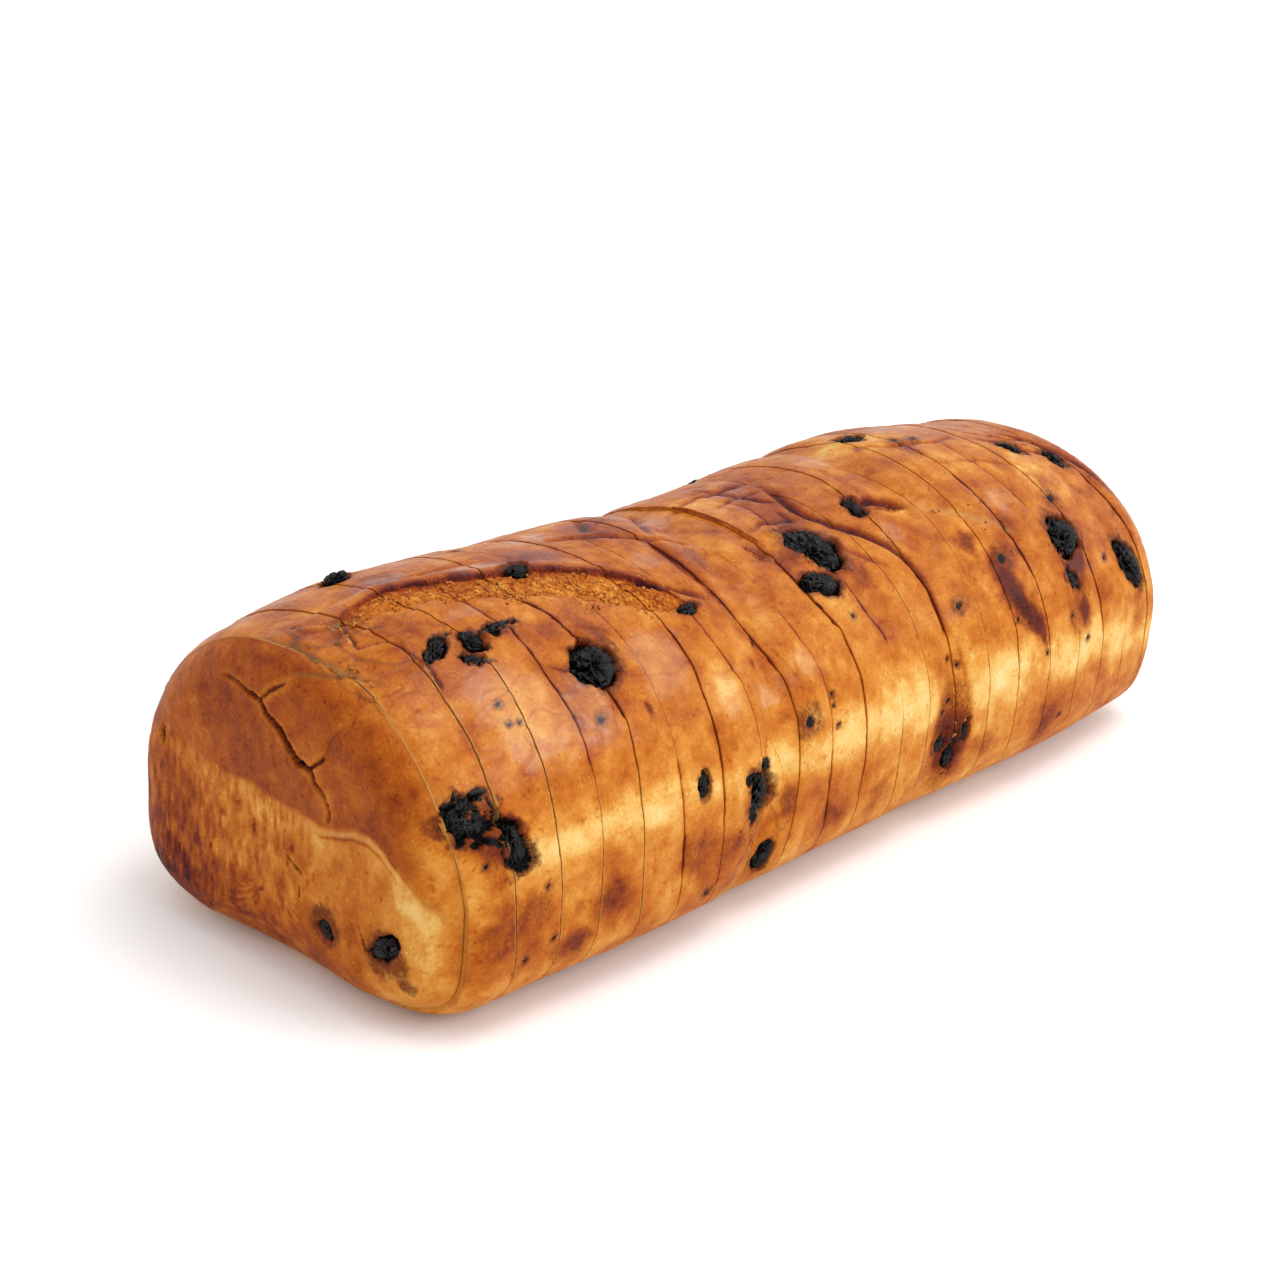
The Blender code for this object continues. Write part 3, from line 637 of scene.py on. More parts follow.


# %% [markdown]
# ### Pockets round the fruit
# A raisin burns before the crust does, shrinks from it and leaves a gap, painted as a dark ring
# of shade, and where it lay just under the skin it tore through and left shreds over it. The
# seat's own axes give the distance from the fruit, so pocket, ring and stain follow each
# raisin's shape and turn.

# %% Pockets, the ring of painted shade and the stained crust round each raisin
TORN_SEATS = {
    "corner_large": 1.4, "corner_right": 1.5, "torn_left": 1.1, "torn_middle": 0.7,
    "torn_right": 1.1, "torn_low": 1.2, "side_tall": 0.4, "side_base": 0.4, "crease_upper": 0.8,
    "crease_lower": 0.8, "crease_right": 0.8, "far_under": 0.9, "by_the_eye": 0.8,
    "side_slim": 1.3, "near_low": 0.4, "near_mid": 0.8, "tear_lip": 0.6, "tear_end": 0.4,
    "far_top_left": 0.6, "far_top_right": 0.7, "skyline_far": 0.7, "back_b": 0.7,
    "far_heel_b": 0.7,
}


def shape_pockets(c):
    """A hollow under each raisin, a moat of painted shade round it and a stain past the moat."""
    ragged = 0.36 * c.noise(3.4, 40) + 0.14 * c.noise(1.3, 41, 2)
    flap = smooth(c.noise(4.5, 42, 2) * 2.0)
    strand = smooth((c.noise(3.0, 43, 2, (1.0, 1.0, 0.7)) - 0.12) / 0.22)
    for name, place in SEATS.items():
        torn = TORN_SEATS.get(name, 0.0)
        bridged = min(torn, 1.0) * strand
        reach = place["size"][0] * 1.7
        near = np.linalg.norm(c.points - place["centre"], axis=-1) < reach
        if not near.any():
            continue
        local = (c.points[near] - place["centre"]) @ place["axes"].T
        half = place["size"] / 2
        away = np.hypot(local[:, 0] / half[0], local[:, 1] / half[1])
        away = away + ragged[near] * (1.0 + torn)
        depth = half[2] / MM * 0.9 * (1.0 - bridged[near])
        c.push[near] -= depth * MM * (1.0 - smooth((away - 0.88) / 0.26))
        rim = np.exp(-(((away - 1.30) / 0.22) ** 2))
        c.push[near] += (0.12 + 0.55 * flap[near]) * MM * rim
        halo = 1.0 - smooth((away - 1.0) / 0.65)
        # Painted shade: the moat is a dark ring in the pocket's wall round the fruit.
        moat = (1.0 - smooth((away - 0.98) / 0.2)) * (1.0 - 0.6 * bridged[near])
        c.stain[near] = np.maximum(c.stain[near], np.maximum(0.58 * halo, moat))


# %% [markdown]
# ### The tear along the top
# Steam burst the crust while it baked. The upper lip overhangs a line of painted shadow, and the
# floor of torn crumb, painted darker towards that lip as shade, rises from there to the smooth
# lower lip. Both lips are read as angles along the loaf, so the tear is the space between two
# curves and not a groove of even width.

# %% The tear
UPPER_LIP = ((-121, 92), (-113.8, 94.7), (-104, 94.2), (-99.2, 92), (-91.8, 89.5),
             (-84.2, 86.8), (-72.5, 82.8), (-65.6, 81), (-61.8, 78.3), (-55.3, 72.3),
             (-51, 67.2), (-46.3, 62.5), (-41, 54))
LOWER_LIP = ((-121, 91), (-118.5, 90), (-113.2, 85.8), (-108.3, 83.6), (-101.2, 81.8),
             (-95.2, 79.2), (-90, 77.2), (-84, 75), (-77, 71.9), (-72.8, 70.3), (-64, 64.8),
             (-57.5, 59.9), (-52.5, 55.8), (-46, 53.4), (-41, 52))
TEAR_DEPTH = ((-121, 0), (-113, 0.5), (-104, 0.8), (-96, 1.1), (-84, 1.4), (-58, 1.6),
              (-50, 1.5), (-45, 1.1), (-40, 0))
MM_PER_DEGREE = 0.82


def shape_tear(c):
    """The crust burst open here: a ragged trench with a steep far lip and a torn floor.

    The lips were read at the crust's own height, and the foot of the far lip lies lower than
    that, so it is set further from the viewer.
    """
    depth = np.interp(c.x, *np.array(TEAR_DEPTH, float).T)
    upper = np.interp(c.x - 2.0 * depth, *np.array(UPPER_LIP, float).T) + 1.8 * depth
    lower = np.interp(c.x, *np.array(LOWER_LIP, float).T)
    ragged = 0.55 * c.noise(2.6, 50) + 0.25 * c.noise(0.9, 51, 2)
    below_upper = (upper - c.degrees) * MM_PER_DEGREE + ragged
    above_lower = (c.degrees - lower) * MM_PER_DEGREE + ragged
    inside = smooth(below_upper / 0.9) * smooth((above_lower + 0.2) / 1.8)
    floor = 0.38 + 0.62 * np.exp(-np.clip(below_upper, 0, None) / 2.6)
    c.dip(inside * (depth * floor + 0.40 * c.noise(1.9, 53) + 0.22 * c.noise(0.9, 54, 2)))
    open_here = inside * smooth(depth / 0.6)
    c.torn = np.maximum(c.torn, open_here)
    c.gloss *= 1.0 - open_here
    # The torn floor's tone, painted darker towards the upper lip as the shade under it.
    floor_tone_and_shade = 0.56 - 0.14 * smooth(below_upper / 7.0)
    floor_tone_and_shade = floor_tone_and_shade + 0.24 * c.noise(1.5, 55) + 0.16 * c.noise(5, 56)
    c.bake += open_here * (floor_tone_and_shade - c.bake)
    # A painted shadow line under the overhanging upper lip.
    shadow = np.exp(-(((below_upper - 0.45) / 0.7) ** 2)) * smooth(depth / 0.9)
    shadow = shadow * (c.degrees < 120)
    c.bake += (0.30 + 0.12 * c.noise(2, 57)) * shadow
    lip = np.exp(-(((below_upper + 1.4) / 1.5) ** 2)) * smooth(depth / 1.2) * (c.degrees < 120)
    c.push += 0.45 * MM * lip
    c.bake += 0.05 * lip


# %% [markdown]
# ### Folds, valleys and flaps
# Each is a line across the crust, given as a few stops of station and angle. It has a depth,
# a half width, how much painted shade darkens it (below zero, painted light on a ridge), how much
# crumb shows and how ragged it runs.

# %% Lines that are pressed or cracked into the crust
def shape_groove(c, line, depth, width, darker=0.0, crumb=0.0, ragged=0.4, seed=60):
    """A groove along a line, deepest at its middle, painted darker as shade or with crumb showing in it.
    """
    distance, share = measure_from(line, c.points, c.normals, width * 4 * MM)
    wander = distance / MM + ragged * width * c.noise(2.5, seed)
    ends = np.sin(np.pi * np.clip(share, 0.02, 0.98)) ** 0.4
    shape = np.exp(-((wander / width) ** 2)) * ends
    c.dip(depth * shape)
    # Painted shade in the groove, and painted light where darker is below zero.
    c.bake += darker * shape
    c.mark("crumb", crumb, shape)


GROOVES = (
    (((21.4, 95), (20, 88.5), (18.1, 82.5), (16.9, 77), (17.5, 72.6), (20.7, 65), (25.9, 58.3),
      (29.7, 52), (32.3, 44.7), (33.5, 36), (33, 24)), 1.6, 1.2, 0.46, 0.0, 0.3),
    (((35.5, 19), (36.1, 8)), 0.3, 0.5, 0.20, 0.0, 0.3),
    (((37.8, 92), (36.5, 75.7)), 0.15, 0.3, 0.0, 0.45, 0.5),
    (((-90, 51.5), (-84, 47), (-79.7, 42)), 0.6, 0.5, 0.30, 0.0, 0.5),
    (((-30, 112), (-38.4, 98.4)), 1.1, 1.2, 0.26, 0.0, 0.4),
    (((-9.5, 116), (-15.3, 106), (-21, 97.6), (-27.5, 85.5)), 1.3, 1.3, 0.30, 0.0, 0.4),
    (((-50, 100), (-43.6, 96.5), (-37, 91.6), (-31.4, 86.6), (-28.8, 83.6), (-24.3, 82.5),
      (-19, 80.6)), 1.4, 0.9, 0.32, 0.0, 0.4),
    (((11.7, 112), (11.7, 100), (14.3, 87), (15.6, 84)), 0.8, 0.9, 0.25, 0.0, 0.4),
    (((12.4, 79.5), (11.7, 72)), 0.5, 0.7, 0.2, 0.0, 0.4),
    (((-129.5, 104), (-129.8, 93.7), (-129.8, 84.5), (-129.8, 78), (-128.5, 71), (-126.8, 66.3),
      (-125.5, 62.5)), 1.0, 0.70, 0.34, 0.50, 1.2),
    (((-134.6, 88), (-133, 84), (-131.5, 76.2), (-128, 70.7)), 0.8, 0.5, 0.34, 0.3, 0.9),
    (((-121, 93), (-117, 90), (-113.2, 86.2)), 0.6, 0.6, 0.16, 0.35, 0.9),
    (((-135, 19.8), (-134.5, 13.8), (-134, 6), (-131, 0.2), (-127.5, -4.2)), 0.5, 0.45, 0.12,
     0.4, 0.7),
    (((-48.7, 67.3), (-43.6, 63.6), (-39.7, 59), (-34.9, 55)), 1.3, 0.7, 0.36, 0.0, 0.4),
    (((-26, 36), (-23, 27), (-20, 36)), 0.2, 0.3, 0.12, 0.0, 0.2),
    (((-31.4, 84), (-31.7, 76), (-32.3, 68), (-31.4, 59), (-33.3, 52)), 1.0, 1.8, 0.26, 0.0, 0.3),
    (((46, 62), (43.4, 67.6), (39, 69.8), (33, 69)), 2.4, 1.1, 0.55, 0.0, 0.25),
    (((44, 64), (40, 66), (35, 67)), 1.5, 1.5, 0.12, 0.0, 0.3),
    (((47, 61.5), (41, 61.0), (35, 64)), -0.5, 0.7, -0.08, 0.2, 0.4),
    (((111, 88), (119, 74), (123, 60), (126, 45)), 0.9, 1.1, 0.42, 0.0, 0.5),
    (((99, 82), (110, 73), (119, 62)), 0.8, 0.9, 0.34, 0.0, 0.5),
    (((-6, 101), (6, 105), (20, 101)), 0.8, 1.0, 0.30, 0.0, 0.5),
    (((2, 92), (10, 95), (18, 93)), 0.5, 0.8, 0.22, 0.0, 0.5),
    (((-3, 74), (4, 77), (13, 73)), 0.7, 0.9, 0.25, 0.0, 0.4),
    (((15, 58), (19, 52), (24, 47)), 0.4, 0.8, 0.2, 0.0, 0.5),
    (((47, 61), (58, 52.5), (71, 43)), 0.5, 1.0, 0.04, 0.5, 1.6),
    (((-18, 82), (-16, 75), (-12, 68)), 0.3, 0.6, 0.0, 0.35, 1.4),
    (((-98, 97), (-86, 98), (-74, 96)), 0.5, 0.8, 0.12, 0.0, 0.6),
    (((56, 98), (66, 88), (80, 84), (92, 86)), 0.7, 0.9, 0.20, 0.0, 0.6),
    (((70, 72), (84, 70), (98, 64)), 0.4, 0.7, 0.14, 0.0, 0.7),
    (((100, 92), (110, 80), (122, 74)), 0.7, 0.9, 0.2, 0.0, 0.6),
    (((-8, 70.5), (-6, 66), (-9, 62.5)), 1.6, 1.8, 0.34, 0.0, 0.5),
    (((-60, 130), (-48, 150), (-44, 170)), 0.8, 1.2, 0.2, 0.0, 0.4),
    (((24, 125), (36, 140), (40, 160)), 0.8, 1.1, 0.2, 0.0, 0.4),
)
GROOVE_LINES = [(crust_line(stops), *values) for stops, *values in GROOVES]


def shape_folds(c):
    for number, (line, *values) in enumerate(GROOVE_LINES):
        shape_groove(c, line, *values, seed=60 + number)


# %% [markdown]
# ### The heels
# A heel is the end of the loaf: a flat face that the tin's end wall baked tan, and the dome
# above it. The flat faces are also painted darker than the sides, partly as shade, since the
# near one is turned from the light, with painted contact shade low down and a painted shadow
# line under the dome's step. A floury stripe marks where the tin's rim was. The near dome is
# cracked across.

# %% The heels' colour, read by height and side on the flat face, with painted shade
HEEL_RIM = ((-52, 24), (-48, 29), (-42, 31.3), (-37.7, 35.6), (-34.9, 37.7), (-31.3, 40.6),
            (-27.7, 42.4), (-23.4, 42.4), (-17.7, 40.6), (-13.4, 39.1), (-6.3, 39.9),
            (-0.6, 40.6), (8, 40.9), (17.3, 41.3), (26.6, 42.7), (33, 45.6), (40, 44), (52, 30))
STRIPE = ((-52, 0.5), (-32, 0.8), (-30, 1.0), (-18, 1.0), (-14, 0.5), (-4, 0.3), (20, 0.25),
          (40, 0.1), (52, 0.0))
HEEL_STEP = ((-28.4, 69.9), (-22, 66.3), (-16.3, 60.6), (-13.4, 54.1))


def shade_heels(c):
    y, z = c.points[..., 1] / MM, c.points[..., 2] / MM
    facing = smooth((np.abs(c.normals[..., 0]) - 0.50) / 0.35)
    if not facing.any():
        return
    rim = np.interp(y, *np.array(HEEL_RIM, float).T) + 0.8 * c.noise(4, 71)
    above = z - rim
    dome = smooth((above + 0.5) / 1.6)
    left = smooth((y + 5.0) / 42.0)
    ripple = c.noise(1.5, 73, 2, (1.0, 1.0, 0.22))
    fissure = smooth((c.noise(1.3, 74, 2, (1.0, 1.0, 0.30)) - 0.55) / 0.2)
    # The face's tan, partly painted shade for a face turned from the light: darker towards +y and
    # lighter towards the front corner.
    tan = 0.42 + 0.15 * left - 0.22 * smooth((-22.0 - y) / 22.0) + 0.11 * c.noise(8, 75)
    # Painted contact shade: darker towards the bottom of the face.
    tan = tan + 0.05 * ripple + 0.13 * smooth((24.0 - z) / 16.0) * smooth((y + 34.0) / 10.0)
    tan = tan + 0.22 * fissure - 0.09 * np.exp(-(((above + 3.5) / 3.5) ** 2))
    fibre = smooth((y + 16.0) / 14.0)
    tan = tan + (0.06 + 0.20 * fibre) * c.noise(0.9, 80, 3, (1.0, 1.0, 0.28))
    tan = tan - 0.07 * smooth((14.0 - np.hypot(y - 12.0, (z - 29.0) * 0.9)) / 8.0)
    brown = 0.56 + 0.05 * left + 0.07 * c.noise(10, 76) + 0.05 * c.noise(2, 77)
    brown = brown - 0.24 * smooth((y + 33.0) / -11.0) - 0.06 * smooth((y - 14.0) / 12.0)
    streak = smooth((y - 16.0) / 10.0) * smooth((34.0 - z) / 10.0) * smooth((z - 5.0) / 6.0)
    tan = tan + 0.11 * streak * smooth(c.noise(4, 78) + 0.4)
    look = tan * (1.0 - dome) + brown * dome
    c.bake += (look - c.bake) * facing
    stripe = np.interp(y, *np.array(STRIPE, float).T) * np.exp(-(((above + 1.0) / 0.55) ** 2))
    c.mark("crumb", 0.75, stripe * facing * np.clip(0.7 + 0.6 * c.noise(1.5, 79), 0, 1))
    # A painted shadow line just under the dome's step over the band.
    under_line = np.exp(-(((above + 2.0) / 0.4) ** 2)) * smooth((-11.0 - y) / 3.0)
    c.bake += 0.22 * under_line * facing * smooth((y + 38.0) / 6.0)
    c.dip(0.18 * np.exp(-(((above + 0.4) / 0.8) ** 2)) * facing)
    c.dip((0.30 * fissure + (0.08 + 0.16 * fibre) * ripple) * (1.0 - dome) * facing)
    c.gloss *= 1.0 - facing * (1.0 - 0.45 * dome)
    c.stain *= 1.0 - 0.8 * facing


# %% The crack across the near dome and its branches
CRACK = ((11.6, 62.4), (8, 61.3), (4.4, 60.6), (3, 58.4), (-1.3, 56.6), (-3.4, 54.1), (-7, 51.3),
         (-10.6, 50.9), (-12.7, 48.1), (-15.2, 46.3), (-16.5, 43.8), (-15.9, 41.6))
# Each line: stops, depth, width and how dark its split is painted as shade.
CRACK_LINES = (
    (CRACK, 2.6, 0.66, 1.0),
    (((5.2, 60.4), (1.6, 64.1), (-2, 66.6), (-4.5, 69.1)), 0.9, 0.30, 0.8),
    (((-10, 50.6), (-13.1, 53.4), (-14.9, 54.9)), 0.9, 0.30, 0.7),
    (((11, 62.4), (15, 62.6), (19.4, 62)), 0.6, 0.30, 0.4),
    (((-4, 28.8), (-8.4, 26.3)), 0.7, 0.4, 0.5),
    (((35.5, 45), (35.2, 40)), 1.6, 0.8, 1.0),
    (((-25, 21.6), (-26.9, 17.5), (-30.9, 16.2), (-35.2, 16.4), (-37.3, 18)), 0.5, 0.40, 0.75),
    (((-37.4, 18.4), (-38.4, 12)), 0.4, 0.70, 0.75),
)


def shape_crack(c):
    if c.x.min() > -100:
        return
    for number, (stops, depth, width, dark) in enumerate(CRACK_LINES):
        line = heel_line(stops, -1)
        distance, share = measure_from(line, c.points, c.normals, 6 * MM)
        wander = np.abs(distance) / MM + 0.35 * c.noise(1.6, 86 + number, 2)
        ends = np.sin(np.pi * np.clip(share, 0.03, 0.97)) ** 0.35
        wide = width * (0.45 + 0.65 * np.sin(np.pi * np.clip(share, 0.0, 1.0)) ** 2)
        split = np.exp(-((wander / wide) ** 6)) * ends
        lips = np.exp(-(((wander - wide - 0.65) / 0.55) ** 2)) * ends
        c.dip(depth * split)
        c.push += 0.14 * MM * lips
        c.bake += lips * (0.40 - c.bake) * 0.55
        # Painted shade in the split.
        c.mark("stain", dark, np.exp(-((wander / (wide + 0.12)) ** 6)) * ends)
    # Painted light and shade on the two sides of the dome's step.
    step, share = measure_from(heel_line(HEEL_STEP, -1), c.points, c.normals, 9 * MM)
    fall = smooth(np.abs(step) / (9 * MM)) < 1.0
    c.bake += np.where(fall, 0.05 * np.sign(step) * np.exp(-((step / MM / 4.0) ** 2)), 0.0)
    c.dip(0.5 * np.exp(-((step / MM / 0.5) ** 2)))
    for y, z, size in ((-15.5, 17.8, 9.5), (-33.5, 18.0, 12.0), (-38.6, 12.5, 4.0)):
        away = np.hypot(c.points[..., 1] / MM - y, c.points[..., 2] / MM - z) * 2 / size
        spread = (1.0 - smooth((away + 0.35 * c.noise(3, 88) - 0.6) / 0.7)) * (c.x < -125)
        c.mark("stain", 0.55, spread)


# %% All of the relief in order
def dress(c):
    """Shape and shade one stretch of crust."""
    shade_bake(c)
    stain_patches(c)
    shape_dough(c)
    raise_blisters(c)
    lift_plates(c)
    shape_tear(c)
    shape_folds(c)
    shade_heels(c)
    shape_crack(c)
    shape_pockets(c)
    c.gloss = np.clip(c.gloss, 0.0, 1.0)


# %% [markdown]
# ## From rings to a closed slice
# A slice is a stack of rings: in from the middle of one cut face, over the crust and back
# to the middle of the other. The rings share their angles, so stacking them gives an even
# grid, and numpy can hand the whole grid to Blender at once.

# %% Directions round the loaf, closer together where the photo looks
FRONT_SPACING, BACK_SPACING, BASE_SPACING = 0.42, 0.8, 2.4


def ring_angles():
    """Angles round an outline, spaced evenly along the crust of the loaf's middle."""
    fine = np.linspace(-47.0, 313.0, 7201)
    points = dough_point(0.0, fine)
    lengths = np.linalg.norm(np.diff(points, axis=0), axis=1) / MM
    middle = (fine[1:] + fine[:-1]) / 2
    spacing = np.where(middle < 118, FRONT_SPACING, np.where(middle < 227, BACK_SPACING, BASE_SPACING))
    reach = np.concatenate([[0.0], np.cumsum(lengths / spacing)])
    count = int(round(reach[-1]))
    return np.interp(np.arange(count) * reach[-1] / count, reach, fine)


ANGLES = ring_angles()
print("points round a slice:", len(ANGLES))


# %% Normals of a grid, and a mesh from a stack of rings
def grid_normals(points):
    """Outward normals of a grid whose rows run along the loaf and columns round it."""
    down = np.gradient(points, axis=0)
    around = np.roll(points, -1, axis=1) - np.roll(points, 1, axis=1)
    normals = np.cross(around, down)
    normals /= np.maximum(np.linalg.norm(normals, axis=-1, keepdims=True), 1e-12)
    outward = points - np.array([0.0, 0.0, WIDEST_HEIGHT]) * np.array([0, 0, 1.0])
    outward[..., 0] = 0.0
    flip = np.einsum("ijk,ijk->ij", normals, outward).mean() < 0
    return -normals if flip else normals


def stack_mesh(name, rings, first_middle, last_middle, masks, sharp_rows):
    """A closed mesh from rings (rows, around, 3) and a middle point at each end."""
    rows, around = rings.shape[:2]
    verts = np.concatenate([rings.reshape(-1, 3), [first_middle], [last_middle]])
    row, column = np.meshgrid(np.arange(rows - 1), np.arange(around), indexing="ij")
    after = (column + 1) % around
    quads = np.stack([row * around + column, (row + 1) * around + column,
                      (row + 1) * around + after, row * around + after], axis=-1).reshape(-1, 4)
    ring = np.arange(around)
    first, last = rows * around, rows * around + 1
    near_fan = np.stack([ring, (ring + 1) % around, np.full(around, first)], axis=-1)
    far_row = (rows - 1) * around
    far_fan = np.stack([far_row + (ring + 1) % around, far_row + ring,
                        np.full(around, last)], axis=-1)
    mesh = bpy.data.meshes.new(name)
    loops = np.concatenate([quads.ravel(), near_fan.ravel(), far_fan.ravel()])
    sizes = np.concatenate([np.full(len(quads), 4), np.full(2 * around, 3)])
    mesh.vertices.add(len(verts))
    mesh.vertices.foreach_set("co", verts.astype(np.float32).ravel())
    mesh.loops.add(len(loops))
    mesh.loops.foreach_set("vertex_index", loops.astype(np.int32))
    mesh.polygons.add(len(sizes))
    starts = np.concatenate([[0], np.cumsum(sizes)[:-1]])
    mesh.polygons.foreach_set("loop_start", starts.astype(np.int32))
    mesh.update(calc_edges=True)
    mesh.validate()
    for key, values in masks.items():
        layer = mesh.attributes.new(key, "FLOAT", "POINT")
        flat = np.concatenate([values.ravel(), [values[0].mean()], [values[-1].mean()]])
        layer.data.foreach_set("value", flat.astype(np.float32))
    ends = np.empty(len(mesh.edges) * 2, np.int32)
    mesh.edges.foreach_get("vertices", ends)
    ends = ends.reshape(-1, 2) // around
    sharp = mesh.attributes.new("sharp_edge", "BOOLEAN", "EDGE")
    on_rim = (ends[:, 0] == ends[:, 1]) & np.isin(ends[:, 0], sharp_rows)
    sharp.data.foreach_set("value", on_rim)
    mesh.shade_smooth()
    return mesh


# %% [markdown]
# ## Finishes as formulas
# Bread browns along one line of colours, from cream through gold and orange to dark brown.
# So the crust's colour is a ramp over one number, the bake with its painted shade, with fruit
# stain, painted shade, crumb and a painted sheen mixed over it. A small class lets shader maths
# be written as Python sums, which keeps the recipe readable. The alternative, placing and linking every
# node by hand, hides it.

# %% A socket that can be used in sums
class Value:
    """The output of a node, usable in Python arithmetic."""

    def __init__(self, finish, socket):
        self.finish, self.socket = finish, socket

    def math(self, operation, *others):
        return self.finish.node("ShaderNodeMath", {"operation": operation}, [*others])

    def __add__(self, other):
        return self.math("ADD", self, other)

    def __sub__(self, other):
        return self.math("SUBTRACT", self, other)

    def __rsub__(self, other):
        return self.math("SUBTRACT", other, self)

    def __mul__(self, other):
        return self.math("MULTIPLY", self, other)

    __radd__ = __add__
    __rmul__ = __mul__

    def clamp(self, low=0.0, high=1.0):
        return self.math("MINIMUM", self.math("MAXIMUM", self, low), high)

    def ease(self, low, high):
        """0 below low, 1 above high and a smooth curve between."""
        settings = {"interpolation_type": "SMOOTHSTEP"}
        return self.finish.node("ShaderNodeMapRange", settings, [self, low, high, 0.0, 1.0])


# %% A material that is built by formulas
def srgb(red, green, blue):
    """A colour as a screen shows it, from 0 to 255, turned into the light it stands for."""
    def light(v):
        v /= 255.0
        return v / 12.92 if v <= 0.04045 else ((v + 0.055) / 1.055) ** 2.4
    return (light(red), light(green), light(blue), 1.0)


class Finish:
    """One procedural material."""

    def __init__(self, name):
        self.material = bpy.data.materials.new(name)
        self.material.use_nodes = True
        self.tree = self.material.node_tree
        self.tree.nodes.clear()
        self.place = self.node("ShaderNodeTexCoord", {}, [], "Object")

    def node(self, kind, settings, sockets, output=0):
        """Add a node: its settings first, then what each socket holds or is linked to."""
        made = self.tree.nodes.new(kind)
        for key, value in settings.items():
            if key == "stops":
                self.set_stops(made.color_ramp, value)
            else:
                setattr(made, key, value)
        pairs = sockets.items() if isinstance(sockets, dict) else enumerate(sockets)
        for key, value in pairs:
            if isinstance(value, Value):
                self.tree.links.new(value.socket, made.inputs[key])
            else:
                made.inputs[key].default_value = value
        return Value(self, made.outputs[output]) if made.outputs else None

    @staticmethod
    def set_stops(ramp, stops):
        while len(ramp.elements) > 1:
            ramp.elements.remove(ramp.elements[-1])
        ramp.elements[0].position, ramp.elements[0].color = stops[0]
        for position, color in stops[1:]:
            ramp.elements.new(position).color = color

    def mask(self, name):
        """One of the numbers stored with each point of the mesh."""
        return self.node("ShaderNodeAttribute", {"attribute_name": name}, [], "Fac")

    def noise(self, size, detail=2.0, stretch=(1.0, 1.0, 1.0), rough=0.5):
        """Soft random values around 0.5 with bumps about as wide as size, in metres."""
        scale = tuple(s / size for s in stretch)
        place = self.node("ShaderNodeMapping", {}, {"Vector": self.place, "Scale": scale})
        sockets = {"Vector": place, "Scale": 1.0, "Detail": detail, "Roughness": rough}
        return self.node("ShaderNodeTexNoise", {}, sockets)

    def cells(self, size, feature="F1"):
        """Distance to the nearest of many scattered points, in shares of their spacing."""
        sockets = {"Vector": self.place, "Scale": 1.0 / size}
        return self.node("ShaderNodeTexVoronoi", {"feature": feature}, sockets, "Distance")

    def ramp(self, factor, stops):
        return self.node("ShaderNodeValToRGB", {"stops": stops}, [factor])

    def mix(self, factor, one, two, blend="MIX"):
        settings = {"data_type": "RGBA", "blend_type": blend}
        return self.node("ShaderNodeMix", settings, {0: factor, 6: one, 7: two}, 2)

    def surface(self, **sockets):
        """The shader itself, with each socket's value or link."""
        named = {key.replace("_", " "): value for key, value in sockets.items()}
        shader = self.node("ShaderNodeBsdfPrincipled", {}, named)
        self.node("ShaderNodeOutputMaterial", {}, {"Surface": shader})
        return self.material

    def bump(self, height, strength, distance):
        sockets = {"Height": height, "Strength": strength, "Distance": distance}
        return self.node("ShaderNodeBump", {}, sockets, "Normal")


# %% The crust
LIGHT_LEVEL, SHEEN = 1.41, 0.018


def as_baked(red, green, blue):
    """The crust's own colour, for the colour that it shows in this light with its sheen."""
    return tuple(max(v - SHEEN, 0.003) / LIGHT_LEVEL for v in srgb(red, green, blue)[:3]) + (1.0,)


BAKE_COLORS = (
    (0.00, as_baked(254, 222, 152)),
    (0.12, as_baked(248, 198, 112)),
    (0.24, as_baked(232, 158, 72)),
    (0.38, as_baked(210, 124, 50)),
    (0.52, as_baked(182, 94, 36)),
    (0.68, as_baked(142, 64, 28)),
    (0.84, as_baked(98, 42, 24)),
    (1.00, as_baked(56, 27, 20)),
)
STAIN_COLOR = as_baked(112, 54, 30)
BURNT_AND_SHADE_COLOR = as_baked(38, 22, 20)
CRUMB_COLOR = as_baked(226, 176, 104)
# The colour of the painted sheen, screened over the crust.
PAINTED_SHEEN_COLOR = as_baked(98, 96, 92)


